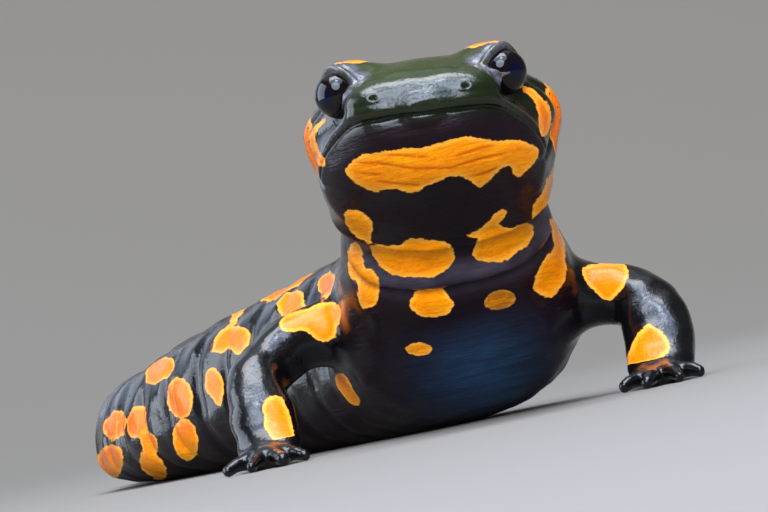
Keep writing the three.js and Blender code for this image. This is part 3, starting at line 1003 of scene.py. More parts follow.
SEEN_PATCHES = (
    SeenPatch("chin", (
        (345, 172), (350, 163), (364, 155), (386, 151), (406, 148), (423, 148), (438, 144), (451, 140),
        (466, 137), (483, 139), (499, 141), (512, 139), (525, 142), (536, 148), (538, 156), (530, 168),
        (516, 177), (510, 166), (500, 169), (490, 180), (479, 187), (467, 179), (451, 177), (429, 185),
        (412, 193), (396, 189), (373, 191), (353, 182)), 5.0, True),
    SeenPatch("cheek_right", (
        (325, 118), (317, 124), (311, 132), (308, 143), (311, 156), (318, 165), (325, 166), (327, 160),
        (320, 153), (316, 143), (317, 131), (325, 121)), 2.6, True),
    SeenPatch("cheek_left", (
        (523, 86), (531, 88), (540, 95), (548, 105), (552, 118), (549, 131), (543, 137), (539, 128),
        (538, 116), (536, 106), (530, 97), (524, 91)), 2.6, True),
    SeenPatch("throat_left", (
        (344, 213), (348, 210), (357, 210), (367, 217), (373, 225), (371, 236), (370, 245), (362, 240),
        (352, 233), (345, 223)), 5.0, True),
    SeenPatch("throat_middle", (
        (370, 245), (386, 245), (400, 245), (408, 239), (426, 239), (443, 241), (452, 247), (455, 259),
        (446, 270), (433, 277), (412, 277), (392, 274), (379, 265), (373, 254)), 5.0, True),
    SeenPatch("throat_right", (
        (467, 235), (477, 231), (486, 224), (491, 219), (499, 210), (506, 210), (505, 217), (499, 224),
        (511, 228), (522, 223), (532, 225), (533, 235), (527, 245), (515, 254), (504, 261), (490, 262),
        (477, 260), (473, 253), (476, 245), (477, 239), (470, 239)), 6.0, True),
    SeenPatch("neck_left_front", (
        (553, 166), (555, 178), (551, 198), (540, 223), (533, 219), (533, 206), (541, 194), (547, 180)
    ), 4.0, True),
    SeenPatch("neck_left", (
        (549, 217), (557, 221), (564, 238), (565, 254), (567, 269), (564, 283), (557, 292), (549, 298),
        (535, 290), (534, 283), (542, 262), (553, 250), (552, 235)), 6.0, True),
    SeenPatch("neck_right", (
        (350, 243), (357, 243), (362, 252), (364, 266), (372, 270), (378, 280), (379, 296), (374, 306),
        (362, 308), (358, 296), (357, 281), (350, 277), (347, 262)), 6.0, True),
    SeenPatch("chest_middle", ellipse(431, 303, 45, 29, 2), 4.0),
    SeenPatch("chest_left", ellipse(500, 300, 33, 20, -12), 4.0, faint=0.62),
    SeenPatch("chest_low", ellipse(419, 349, 27, 14, 0), 4.0, faint=0.3),
    SeenPatch("chest_side", (
        (334, 376), (341, 373), (350, 383), (359, 398), (357, 406), (349, 402), (338, 388)), 3.0),
    SeenPatch("arm_left_upper", (
        (582, 267), (600, 263), (620, 263), (628, 270), (625, 284), (614, 298), (606, 300), (595, 292),
        (585, 281)), 3.5, True),
    SeenPatch("arm_left_fore", (
        (648, 324), (660, 330), (669, 342), (667, 353), (656, 364), (644, 371), (632, 380), (622, 386),
        (623, 372), (628, 355), (637, 336)), 4.5, True),
    SeenPatch("arm_right_upper", (
        (279, 323), (285, 315), (296, 311), (308, 308), (320, 304), (332, 302), (340, 307), (341, 317),
        (337, 328), (335, 337), (323, 342), (313, 338), (308, 332), (300, 331), (290, 332), (282, 330)
    ), 3.5, True),
    SeenPatch("arm_right_fore", (
        (262, 405), (268, 397), (277, 395), (284, 401), (290, 417), (295, 436), (303, 453), (290, 450),
        (277, 443), (266, 430)), 4.5, True),
    SeenPatch("shoulder", ellipse(292, 303, 30, 24, -32), 3.0),
    SeenPatch("shoulder_streak", (
        (330, 271), (335, 278), (331, 292), (321, 303), (315, 303), (319, 290), (323, 275)), 3.0),
    SeenPatch("flank_a", (
        (211, 352), (214, 340), (222, 329), (232, 326), (242, 327), (249, 331), (250, 341), (243, 353),
        (235, 354), (230, 349), (222, 353)), 7.0, True),
    SeenPatch("flank_a_tip", (
        (229, 325), (233, 313), (240, 301), (246, 298), (249, 301), (245, 309), (238, 319), (235, 326)
    ), 6.0, True),
    SeenPatch("flank_b", ellipse(160, 371, 36, 20, -42), 3.0),
    SeenPatch("flank_c", ellipse(180, 398, 26, 42, -6), 3.0),
    SeenPatch("flank_d", ellipse(186, 440, 26, 42, -8), 3.0),
    SeenPatch("flank_e", (
        (206, 371), (215, 368), (222, 377), (224, 390), (220, 407), (212, 398), (205, 388)), 3.0),
    SeenPatch("flank_f", ellipse(115, 425, 22, 31, 25), 3.0),
    SeenPatch("flank_g", ellipse(137, 422, 20, 33, 12), 3.0),
    SeenPatch("flank_h", ellipse(110, 463, 27, 38, 10), 7.0, True),
    SeenPatch("flank_i", (
        (138, 437), (146, 431), (155, 435), (158, 446), (157, 454), (164, 463), (167, 474), (161, 480),
        (151, 476), (141, 466), (140, 455), (143, 449)), 3.0),
    SeenPatch("flank_j", ellipse(212, 466, 30, 20, -8), 3.0),
)


@dataclass(frozen=True)
class TorsoSpot:
    """An orange spot given where it lies on the torso."""

    station: float
    angle_deg: float
    length: float
    width: float
    lean: float = 0.0


HIDDEN_SPOTS = tuple(TorsoSpot(*row) for row in (
    (3.3, 62, 7.0, 3.0, 0.2), (4.3, 58, 8.5, 3.4, -0.15), (5.4, 66, 6.5, 3.6), (6.3, 58, 7.5, 3.2, 0.2),
    (7.3, 64, 8.0, 3.6, -0.1), (8.4, 60, 6.0, 3.2), (9.4, 62, 6.5, 3.0, 0.15),
    (3.9, 112, 6.0, 2.8, -0.2), (5.0, 118, 6.5, 3.2, 0.1), (8.9, 116, 6.0, 3.0, -0.1),
    (9.9, 110, 5.5, 2.8), (4.8, 18, 4.2, 3.0), (5.9, 12, 4.8, 3.4, 0.3), (6.9, 20, 4.0, 2.8),
    (7.9, 10, 4.6, 3.0, -0.3), (8.9, 16, 3.8, 2.6), (8.5, 160, 4.6, 3.2), (9.3, 168, 3.6, 2.6),
    (10.6, 66, 6.5, 2.6), (11.1, 120, 5.5, 2.4, 0.2), (11.8, 70, 6.0, 2.4), (12.4, 124, 5.0, 2.2),
    (13.1, 74, 6.0, 2.2), (13.8, 118, 4.6, 2.0), (14.5, 76, 4.6, 1.9), (15.3, 104, 4.4, 1.7),
    (10.4, 6, 4.0, 2.2), (11.6, 176, 3.8, 2.0), (12.6, 8, 3.4, 1.8),
))


@dataclass(frozen=True)
class HeadSpot:
    """An orange patch on the head: whatever of it an ellipsoid in the head's frame holds."""

    centre: Row
    half: Row


HEAD_SPOTS = (
    HeadSpot((5.6, 0.15, 3.0), (2.9, 2.9, 1.45)),
    HeadSpot((-5.6, 0.15, 3.0), (2.9, 2.9, 1.45)),
    HeadSpot((10.1, 7.2, -2.8), (2.2, 4.0, 2.8)),
    HeadSpot((-9.7, 7.2, -3.0), (2.2, 4.0, 2.6)),
    HeadSpot((10.2, 5.4, -4.6), (2.0, 2.0, 2.5)),
    HeadSpot((-9.8, 5.4, -4.6), (2.0, 2.0, 2.5)),
)


@dataclass
class Surface:
    """The skin as the markings need it."""

    points: Array  # in body coordinates
    normals: Array
    tree: BVHTree
    pixels: Array  # where each point falls in the 768 by 512 frame
    depths: Array  # and how far ahead of the camera it lies, mm


@dataclass
class Markings:
    """Works out, for every vertex, how far it lies from the edge of the nearest orange patch."""

    body: Body
    view: View
    wander: Relief = field(default_factory=lambda: Relief(seed=11, shortest=3.0, longest=9.0, height=0.12))
    search_depth: float = 290.0  # how far ahead the skin is looked for where a ray misses it
    depth_slack: float = 2.0  # beyond a patch's thickness
    pixel_slack: float = 30.0  # beyond its outline
    ring_slack: float = 3.0  # beyond its furthest corner, mm
    corner_width: float = 0.4  # of the soft edge between outline and thickness
    limb_gap: float = 0.15  # between the trunk's patches and a leg
    sole_height: float = 2.15  # the paws are orange only above this
    lilac_edge: tuple[float, float] = (2.35, 0.95)  # how far from the eye's middle, and above it more
    lilac_deg: tuple[float, float] = (92.0, 14.0)  # how far from the gaze, and above it more

    def cast(self, tree: BVHTree, pixel: tuple[float, float], depth: float) -> Array:
        """Finds where a pixel's ray meets the body.

        Args:
            tree: the body's faces, in body coordinates.
            pixel: in the 768 by 512 frame.
            depth: how far ahead to look for the nearest skin where the ray misses.

        Returns:
            A point on the skin.
        """
        start, way = np.array(self.view.place), self.view.ray(pixel)
        hit = tree.ray_cast(Vector(start), Vector(way))[0]
        if hit is None:
            hit = tree.find_nearest(Vector(start + way * depth))[0]
        return np.array(hit)

    @staticmethod
    def outline_distance(flat: Array, outline: Array) -> Array:
        """Signed distance from a closed outline in its plane, negative inside."""
        best = np.full(len(flat), np.inf)
        inside = np.zeros(len(flat), bool)
        for a, b in zip(outline, np.roll(outline, -1, axis=0)):
            edge, offset = b - a, flat - a
            share = np.clip(offset @ edge / max(edge @ edge, 1e-9), 0, 1)
            best = np.minimum(best, np.linalg.norm(offset - share[:, None] * edge, axis=1))
            crosses = (a[1] > flat[:, 1]) != (b[1] > flat[:, 1])
            height = edge[1] if abs(edge[1]) > 1e-9 else 1e-9
            inside ^= crosses & (flat[:, 0] < a[0] + edge[0] * (flat[:, 1] - a[1]) / height)
        return np.where(inside, -best, best)

    @staticmethod
    def rounded(ring: Array) -> Array:
        """A closed line through the ring's points, with its corners rounded."""
        places = np.linspace(0, len(ring), len(ring) * 4, endpoint=False)
        return catmull_rom(np.vstack([ring, ring[:1]]), places)

    def frontal(self, skin: Surface, patch: SeenPatch, outline: Array, middle: Array) -> tuple[Array, ...]:
        """Measures a patch that is cast straight on from the camera.

        Args:
            skin: what it lies on.
            patch: the patch.
            outline: its corners in pixels.
            middle: the point on the skin at its middle.

        Returns:
            Which vertices are near it, and how far each of them is outside its outline and its
            thickness, negative inside.
        """
        depth = self.view.project(middle[None])[1][0]
        chosen = np.abs(skin.depths - depth) < patch.thickness + self.depth_slack
        chosen &= skin.normals @ self.view.axes()[2] < 0.3
        reach = np.ptp(outline, axis=0) + self.pixel_slack
        chosen &= (np.abs(skin.pixels - outline.mean(0)) < reach).all(1)
        away = self.outline_distance(skin.pixels[chosen], self.rounded(outline))
        away *= depth / self.view.pixels_per_radian
        return chosen, away, np.abs(skin.depths[chosen] - depth) - patch.thickness

    def fitted(self, skin: Surface, patch: SeenPatch, outline: Array, middle: Array) -> tuple[Array, ...]:
        """Measures a patch in the plane that fits its corners on the skin, as frontal does."""
        eye = np.array(self.view.place)
        depth = float(np.linalg.norm(middle - eye))
        ring = np.array([self.cast(skin.tree, tuple(pixel), depth) for pixel in outline])
        centre = ring.mean(0)
        plane = np.linalg.svd(ring - centre)[2]
        out = plane[2] * np.sign(plane[2] @ (eye - centre))
        offset = skin.points - centre
        reach = np.linalg.norm(ring - centre, axis=1).max() + self.ring_slack
        chosen = np.linalg.norm(offset, axis=1) < reach
        chosen &= skin.normals @ out > -0.3
        corners = self.rounded(ring - centre) @ plane[:2].T
        away = self.outline_distance(offset[chosen] @ plane[:2].T, corners)
        return chosen, away, np.abs(offset[chosen] @ out) - patch.thickness

    def seen(self, skin: Surface) -> tuple[Array, Array]:
        """Finds the patches whose outlines are known by pixel.

        Args:
            skin: what they lie on.

        Returns:
            The distance from the nearest patch, negative inside, and how faint that patch is.
        """
        total, faint = np.full(len(skin.points), FAR), np.zeros(len(skin.points))
        off_limbs = np.min([limb.field(skin.points) for limb in self.body.limbs], axis=0)
        for patch in SEEN_PATCHES:
            outline = np.array(patch.outline, float)
            middle = self.cast(skin.tree, tuple(outline.mean(0)), self.search_depth)
            measure = self.frontal if patch.frontal else self.fitted
            chosen, away, deep = measure(skin, patch, outline, middle)
            edge = smooth_max(away, deep, self.corner_width)
            if not patch.name.startswith("arm_"):
                edge = np.maximum(edge, self.limb_gap - off_limbs[chosen])
            faint[chosen] = np.where(edge < np.minimum(total[chosen], 1.0), patch.faint, faint[chosen])
            total[chosen] = np.minimum(total[chosen], edge)
        return total, faint

    def hidden(self, points: Array) -> Array:
        """Distance from the spots that are given along the torso and on the head."""
        loft = self.body.torso.loft
        _, across, above, _, sizes = loft.locate(points)
        _, along, angle = self.body.torso.place(points)
        wander = self.wander.field(points)
        girth = np.hypot(across, above)
        on_torso = girth < sizes.max(1) * 1.15
        total = np.full(len(points), FAR)
        for spot in HIDDEN_SPOTS:
            middle = np.interp(spot.station, loft.at, loft.lengths)
            run = along - middle
            turn = np.radians((angle - spot.angle_deg + 180) % 360 - 180) * girth
            turn = turn + spot.lean * run
            rho = np.hypot(run / (spot.length / 2), turn / (spot.width / 2))
            away = (rho - 1) * spot.width / 2
            total = np.where(on_torso, np.minimum(total, away + wander), total)
        in_head = self.body.head.to_head(points)
        for spot in HEAD_SPOTS:
            rho = np.linalg.norm((in_head - np.array(spot.centre)) / np.array(spot.half), axis=1)
            total = np.minimum(total, (rho - 1) * min(spot.half))
        return total

    def underside(self, points: Array, in_head: Array, station: Array, angle: Array) -> Array:
        """How far points belong to the duller skin of chin, throat and belly, from 0 to 1."""
        belly = ramp(-np.sin(np.radians(angle)), 0.0, 0.6) * (1 - ramp(station, 9.0, 10.0))
        chin = ramp(self.body.head.mouth_height(in_head[:, 1]) - in_head[:, 2], 0.0, 1.0)
        on_trunk = ramp(points[:, 1], 9.0, 14.0)
        under = belly * on_trunk + chin * (1 - on_trunk)
        for limb in self.body.limbs:
            under *= ramp(limb.field(points), 0.0, 1.5)
        return under

    def pale_lid_and_sheen(self, in_head: Array) -> Array:
        """How far points belong to the pale skin that rings the eyes, from 0 to 1: partly its own pale
        colour, partly painted reflection of the lids' sheen, strongest on the upper lid.
        """
        total = np.zeros(len(in_head))
        for side in SIDES:
            offset = in_head - np.array(self.body.head.eye_centre) * (side, 1, 1)
            far = np.linalg.norm(offset, axis=1)
            ahead, inward, upward = self.body.head.eye_axes(side)
            angle = np.degrees(np.arccos(np.clip(offset @ ahead / np.maximum(far, TINY), -1, 1)))
            spread = np.maximum(np.hypot(offset @ inward, offset @ upward), TINY)
            to_nose, to_brow = offset @ inward / spread, offset @ upward / spread
            upper = ramp(0.75 * to_brow + 0.65 * to_nose, 0.1, 0.7)
            edge = self.lilac_edge[0] + self.lilac_edge[1] * upper
            turn = self.lilac_deg[0] + self.lilac_deg[1] * upper
            zone = (1 - ramp(far, edge - 0.15, edge + 0.35)) * (1 - ramp(angle, turn, turn + 20.0))
            zone = zone * ramp(0.8 * to_nose + 0.2 * to_brow, -0.7, 0.1)
            # the upper lid is paler than the lower: painted sheen
            total = np.maximum(total, zone * (0.35 + 0.65 * upper))
        return total

    def paint(self, mesh: bpy.types.Mesh) -> None:
        """Writes the attributes that the skin's material reads.

        Args:
            mesh: the finished skin, in metres in the frame.
        """
        points = vertex_array(mesh) / MM + REST_POINT
        normals = np.empty(len(points) * 3, np.float32)
        mesh.vertices.foreach_get("normal", normals)
        tree = BVHTree.FromPolygons([Vector(p) for p in points], [p.vertices for p in mesh.polygons])
        skin = Surface(points, normals.reshape(-1, 3), tree, *self.view.project(points))
        pattern, faint = self.seen(skin)
        pattern = np.minimum(pattern, self.hidden(points))
        for limb in self.body.limbs:
            on_paw = joined(limb.paw, points) < 0.7
            above = np.maximum(pattern, 4.0 * (self.sole_height - points[:, 2]))
            pattern = np.where(on_paw, above, pattern)
        station, _, angle = self.body.torso.place(points)
        in_head = self.body.head.to_head(points)
        under = self.underside(points, in_head, station, angle)
        # painted reflection: the top of the head, more so the higher it lies, is tinted olive green for the
        # green sheen it shows
        top = (0.25 + 0.75 * ramp(in_head[:, 2], -1.4, 0.9)) * ramp(in_head[:, 2], -6.0, -2.0)
        top *= 1 - ramp(in_head[:, 1], 6.0, 13.0)
        # painted reflection: the low front of the chest takes a blue tint for the sheen on it
        chest_sheen = window(station, (1.8, 2.9), (3.3, 4.3)) * bump(angle + 86, 26)
        # painted highlight: the raised roll ahead of the gular fold is made paler for the sheen it catches
        collar_sheen = bump(station - self.body.torso.fold_station + 0.26, 0.26) * under
        values = {
            "chest_sheen": chest_sheen, "collar_sheen": collar_sheen * (points[:, 1] > 2.0), "faint": faint,
            # painted shade: the chin's fine creases are coloured darker
            "crease_shade": self.body.head.creases(in_head) * (points[:, 2] > 12.0),
            "lid": self.pale_lid_and_sheen(in_head), "orange": pattern, "underside": under, "crown_sheen": top,
        }
        for name, value in values.items():
            write(mesh, name, value)


def vertex_array(mesh: bpy.types.Mesh) -> Array:
    """A mesh's vertices, one to a row."""
    values = np.empty(len(mesh.vertices) * 3, np.float32)
    mesh.vertices.foreach_get("co", values)
    return values.reshape(-1, 3).astype(float)


def write(mesh: bpy.types.Mesh, name: str, values: Array) -> None:
    """Stores one number a vertex under a name."""
    mesh.attributes.new(name, "FLOAT", "POINT").data.foreach_set("value", values.astype(np.float32))


# ---------------------------------------------------------------- finishes


def srgb(code: str) -> tuple[float, float, float, float]:
    """Turns a hex colour into linear red, green, blue and alpha."""
    parts = [int(code[k:k + 2], 16) / 255 for k in (1, 3, 5)]
    return (*(p / 12.92 if p <= 0.04045 else ((p + 0.055) / 1.055) ** 2.4 for p in parts), 1.0)


@dataclass
class Wiring:
    """Adds nodes to one material's tree."""

    tree: bpy.types.NodeTree

    def feed(self, node: bpy.types.Node, inputs: dict[str | int, object]) -> None:
        """Gives inputs, by name or number, the socket that feeds each of them or its value."""
        for place, value in inputs.items():
            socket = node.inputs[place]
            if isinstance(value, Socket):
                self.tree.links.new(value, socket)
            else:
                socket.default_value = value

    def node(self, kind: str, inputs: dict[str | int, object] | None = None,
             **settings: object) -> bpy.types.Node:
        """Adds a node.

        Args:
            kind: its type, such as ShaderNodeMath.
            inputs: what each input is given, as feed takes it.
            settings: properties of the node.

        Returns:
            The node.
        """
        made = self.tree.nodes.new(kind)
        for name, value in settings.items():
            setattr(made, name, value)
        self.feed(made, inputs or {})
        return made

    def math(self, operation: str, *values: object) -> Socket:
        """One sum or comparison of numbers and sockets."""
        return self.node("ShaderNodeMath", dict(enumerate(values)), operation=operation).outputs[0]

    def times(self, first: object, second: object) -> Socket:
        """The product of two numbers or sockets."""
        return self.math("MULTIPLY", first, second)

    def plus(self, first: object, second: object) -> Socket:
        """The sum of two numbers or sockets."""
        return self.math("ADD", first, second)

    def ramp(self, value: object, low: float, high: float,
             to_low: float = 0.0, to_high: float = 1.0) -> Socket:
        """Maps a range smoothly to another, held at its ends."""
        inputs = {"Value": value, "From Min": low, "From Max": high, "To Min": to_low, "To Max": to_high}
        return self.node("ShaderNodeMapRange", inputs, interpolation_type="SMOOTHSTEP", clamp=True).outputs[0]

    def mix(self, share: object, first: object, second: object) -> Socket:
        """Mixes two colours."""
        return self.node("ShaderNodeMix", {0: share, 6: first, 7: second}, data_type="RGBA").outputs[2]

    def noise(self, where: object, size_mm: float, detail: float = 2.0, rough: float = 0.5) -> Socket:
        """Noise whose features are about this size."""
        inputs = {"Vector": where, "Scale": 1 / (size_mm * MM), "Detail": detail, "Roughness": rough}
        return self.node("ShaderNodeTexNoise", inputs).outputs[0]

    def stretched(self, where: object, *scale: float) -> Socket:
        """Coordinates scaled along each axis."""
        return self.node("ShaderNodeMapping", {"Vector": where, "Scale": scale}).outputs[0]

    def bumps(self, height: object, depth_mm: float) -> Socket:
        """Normals tilted by a height."""
        inputs = {"Height": height, "Strength": 0.35, "Distance": depth_mm * MM}
        return self.node("ShaderNodeBump", inputs).outputs[0]

    def attribute(self, name: str) -> Socket:
        """A number stored at each vertex."""
        return self.node("ShaderNodeAttribute", attribute_name=name).outputs["Fac"]


def new_material(name: str) -> tuple[bpy.types.Material, Wiring, bpy.types.Node]:
    """A new material, the wiring of its tree and its shader."""
    made = bpy.data.materials.new(name)
    made.use_nodes = True
    return made, Wiring(made.node_tree), made.node_tree.nodes["Principled BSDF"]


@dataclass(frozen=True)
class WetSkin:
    """Living amphibian skin: smooth black, wet under a film of mucus, with orange patches whose
    edges fray into the black; fine granules catch the light and the belly is duller."""

    black: str = "#07080B"
    # painted reflection: olive green for the sheen on the crown
    crown_sheen_olive: str = "#263409"
    plum: str = "#13070F"
    # painted reflection: the chest's blue sheen, put into the skin's colour
    chest_sheen_blue: str = "#1F3A58"
    # painted highlight: paler slate for the sheen on the collar's roll
    collar_sheen_slate: str = "#474354"
    # the lids' pale colour, lightened further as painted reflection of their sheen
    pale_lid_and_sheen: str = "#52515C"
    orange: str = "#F47E02"
    golden: str = "#FDA208"
    deep_orange: str = "#DE5E00"
    # painted shade: darker rust along the chin's creases
    crease_shade_rust: str = "#B44A00"
    pale: str = "#FFC24A"
    granule_mm: float = 0.32
    crease_mm: float = 1.4
    wrinkle_mm: float = 1.1
    bead_mm: float = 0.3
    fray_mm: float = 0.7
    cloud_mm: float = 3.0
    mottle_mm: float = 0.9
    fray_reach: float = 0.55  # how far the fray moves a patch's edge, mm for a full swing of noise
    relief_mm: float = 0.12
    film_mm: float = 0.05

    def ground(self, w: Wiring, where: Socket, under: Socket, cloud: Socket) -> Socket:
        """The colour between the patches, with painted sheen on the crown, the chest, the collar and the
        lids.

        Args:
            w: the material's wiring.
            where: Object coordinates.
            under: how far the skin is that of the underside.
            cloud: broad noise.

        Returns:
            The colour.
        """
        # painted reflection: black tinted olive on the top of the head for its green sheen
        above = w.mix(w.attribute("crown_sheen"), srgb(self.black), srgb(self.crown_sheen_olive))
        # painted reflection: the chest's part of the underside is tinted blue for its sheen
        below = w.mix(w.attribute("chest_sheen"), srgb(self.plum), srgb(self.chest_sheen_blue))
        # painted highlight: the collar's roll is paler where it catches the light, varied by broad noise
        collar_sheen = w.times(w.attribute("collar_sheen"), w.ramp(cloud, 0.3, 0.6, 0.35, 0.85))
        below = w.mix(collar_sheen, below, srgb(self.collar_sheen_slate))
        mottle = w.ramp(w.noise(where, self.mottle_mm, 3.0, 0.6), 0.38, 0.58, 0.15, 1.0)
        # pale lids, mottled: their own pale colour and painted reflection of their sheen together
        lid = w.times(w.attribute("lid"), mottle)
        return w.mix(lid, w.mix(under, above, below), srgb(self.pale_lid_and_sheen))

    def warm(self, w: Wiring, under: Socket, cloud: Socket, line: Socket, rim: Socket) -> Socket:
        """The patches' colour, with painted shade darker along the creases.

        Args:
            w: the material's wiring.
            under: how far the skin is that of the underside.
            cloud: broad noise.
            line: 1 along the finest creases, where the orange is painted darker as shade.
            rim: 1 along a patch's edge, on its inner side.

        Returns:
            The colour.
        """
        colour = w.mix(under, srgb(self.orange), srgb(self.golden))
        # deeper orange by broad noise is the skin's own tone; deeper orange along the finest creases and rust
        # along the chin's creases are painted shade; pale along the rims is the patches' own colour
        shades = ((w.ramp(cloud, 0.3, 0.7, 0.0, 0.28), self.deep_orange),
                  (w.times(line, 0.5), self.deep_orange),
                  (w.times(w.attribute("crease_shade"), 0.85), self.crease_shade_rust),
                  (w.times(rim, 0.55), self.pale))
        for share, shade in shades:
            colour = w.mix(share, colour, srgb(shade))
        return colour

    def build(self) -> bpy.types.Material:
        """Makes the material."""
        made, w, shader = new_material("wet_amphibian_skin")
        where = w.node("ShaderNodeTexCoord").outputs["Object"]
        under = w.attribute("underside")
        fray = w.math("SUBTRACT", w.noise(where, self.fray_mm, 3.0, 0.6), 0.5)
        frayed = w.math("MULTIPLY_ADD", fray, self.fray_reach, w.attribute("orange"))
        patch = w.ramp(frayed, 0.05, -0.05)
        rim = w.times(w.ramp(frayed, -0.45, -0.05), patch)
        cloud = w.noise(where, self.cloud_mm, 3.0)
        veins = w.noise(w.stretched(where, 1.0, 1.0, 2.6), self.crease_mm, 4.0, 0.65)
        # 1 along the finest creases: a slight groove in the bump and painted shade in the orange
        line = w.ramp(w.math("ABSOLUTE", w.math("SUBTRACT", veins, 0.5)), 0.0, 0.035, 1.0, 0.0)
        faded = w.times(w.attribute("faint"), w.ramp(veins, 0.35, 0.6, 0.6, 1.0))
        shown = w.times(patch, w.math("SUBTRACT", 1.0, faded))
        colour = w.mix(shown, self.ground(w, where, under, cloud), self.warm(w, under, cloud, line, rim))
        rough = w.plus(w.ramp(under, 0.0, 1.0, 0.27, 0.5), w.ramp(cloud, 0.3, 0.8, -0.04, 0.08))
        grid = {"Vector": where, "Scale": 1 / (self.granule_mm * MM)}
        grains = w.node("ShaderNodeTexVoronoi", grid).outputs[0]
        drawn = w.stretched(where, 0.3, 0.3, 2.6)
        wrinkles = w.times(w.noise(drawn, self.wrinkle_mm, 3.0, 0.6), under)
        height = w.plus(w.times(grains, -0.35), veins)
        height = w.plus(height, w.times(line, -0.12))
        height = w.plus(height, w.times(wrinkles, 3.2))
        beads = w.times(w.noise(where, self.bead_mm, 2.0), w.ramp(cloud, 0.35, 0.6, 0.3, 1.6))
        cover = w.times(w.ramp(under, 0.0, 1.0, 0.75, 0.22), w.ramp(patch, 0.0, 1.0, 1.0, 0.3))
        w.feed(shader, {
            "Base Color": colour, "Roughness": rough, "IOR": 1.2,
            "Normal": w.bumps(height, self.relief_mm),
            "Coat Normal": w.bumps(w.plus(height, beads), self.film_mm),
            "Coat Weight": cover, "Coat IOR": 1.4, "Coat Roughness": 0.1,
            "Subsurface Weight": 0.06, "Subsurface Radius": (0.6, 0.25, 0.1), "Subsurface Scale": 0.8 * MM,
        })
        return made


@dataclass(frozen=True)
class EyeGlass:
    """A wet dark eye: near-black pupil tinted dark blue as painted reflection of its blue sheen, brown iris
    faintly flecked, under a clear cornea.
    """

    centre: Row
    gaze: Row
    radius: float
    # painted reflection: the near-black pupil carries a dark blue tint for its sheen
    pupil_and_blue_sheen: str = "#03061E"
    iris: str = "#080507"
    fleck: str = "#140B0A"
    pupil_share: float = 0.34

    def build(self, name: str) -> bpy.types.Material:
        """Makes the material of one eye."""
        made, w, shader = new_material(name)
        where = w.node("ShaderNodeTexCoord").outputs["Object"]
        back = tuple(-c * MM for c in self.centre)
        shifted = w.node("ShaderNodeVectorMath", {0: where, 1: back}, operation="ADD").outputs[0]
        along = w.node("ShaderNodeVectorMath", {0: shifted, 1: self.gaze}, operation="DOT_PRODUCT")
        share = w.math("DIVIDE", along.outputs["Value"], self.radius * MM)
        edge = math.sqrt(1 - self.pupil_share**2)
        flecks = w.ramp(w.noise(where, 0.3, 4.0, 0.7), 0.45, 0.7)
        iris = w.mix(flecks, srgb(self.iris), srgb(self.fleck))
        w.feed(shader, {
            "Base Color": w.mix(w.ramp(share, edge - 0.02, edge + 0.02), iris, srgb(self.pupil_and_blue_sheen)),
            "Roughness": 0.3, "IOR": 1.02,
            "Coat Weight": 1.0, "Coat Roughness": 0.012, "Coat IOR": 1.37,
        })
        return made


# ---------------------------------------------------------------- pieces


@dataclass
class SkinPiece:
    """The one skin that stands for every node of flesh."""

    body: Body
    view: View
    flesh: Sequence[str]
    box: tuple[Array, Array]
    finish: WetSkin = WetSkin()

    def build(self) -> bpy.types.Object:
        """Makes the skin with its markings and puts it in place of the flesh nodes."""
        mesh = Skinner(self.body, self.box).build(self.fine, self.finer)
        Markings(self.body, self.view).paint(mesh)
        mesh.materials.append(self.finish.build())
        skin = add_object("skin", mesh)
        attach(skin, "root")
        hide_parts(*self.flesh)
        return skin

    @staticmethod
    def fine(points: Array) -> Array:
        """The head and throat, and every hand and foot."""
        head = (points[:, 1] < 8.5) & (points[:, 2] > 13.0)
        return head | (points[:, 2] < 2.4) & (points[:, 1] < 13.0)

    def finer(self, points: Array) -> Array:
        """The lids and the lips."""
        q = self.body.head.to_head(points)
        lids = np.zeros(len(q), bool)
        for side in SIDES:
            away = np.linalg.norm(q - np.array(self.body.head.eye_centre) * (side, 1, 1), axis=1)
            lids |= away < 2.9
        lips = (np.abs(q[:, 2] - self.body.head.mouth_height(q[:, 1])) < 0.55) & (q[:, 1] < 5.0)
        nostrils = np.linalg.norm(np.abs(q) - np.abs(np.array(self.body.head.nostril)), axis=1) < 0.9
        return lids | lips | nostrils


@dataclass
class Eye:
    """One eyeball with a slight cornea, looking out and ahead."""

    head: Head
    side: float
    node: str
    pupil_way: Row = (0.6, -0.8, -0.03)
    cornea_lift: float = 0.09
    segments: int = 64

    def build(self) -> bpy.types.Object:
        """Makes the eyeball in place of its node."""
        gaze = self.head.axes @ (np.array(self.pupil_way) * (self.side, 1, 1))
        gaze /= np.linalg.norm(gaze)
        centre = self.head.to_body(np.array([self.head.eye_centre]) * (self.side, 1, 1))[0] - REST_POINT
        bm = bmesh.new()
        bmesh.ops.create_uvsphere(bm, u_segments=self.segments, v_segments=self.segments // 2,
                                  radius=self.head.eye_radius - self.cornea_lift)
        turn = Vector((0, 0, 1)).rotation_difference(Vector(gaze)).to_matrix()
        for vert in bm.verts:
            ahead = vert.co.z / vert.co.length
            lift = self.cornea_lift * float(ramp(np.array([ahead]), 0.35, 0.9)[0])
            vert.co = (turn @ (vert.co * (1 + lift / vert.co.length)) + Vector(centre)) * MM
        mesh = bpy.data.meshes.new(self.node + "_ball")
        bm.to_mesh(mesh)
        bm.free()
        shade_smooth(mesh)
        glass = EyeGlass(centre=tuple(centre), gaze=tuple(gaze), radius=self.head.eye_radius)
        mesh.materials.append(glass.build("wet_" + self.node))
        ball = add_object(self.node + "_ball", mesh)
        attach(ball, "root")
        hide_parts(self.node)
        return ball


@dataclass(frozen=True)
class PoreRow:
    """A row of gland pores along the torso, between two stations and at one angle round it."""

    first: float
    last: float
    angle_deg: float
    spacing: float


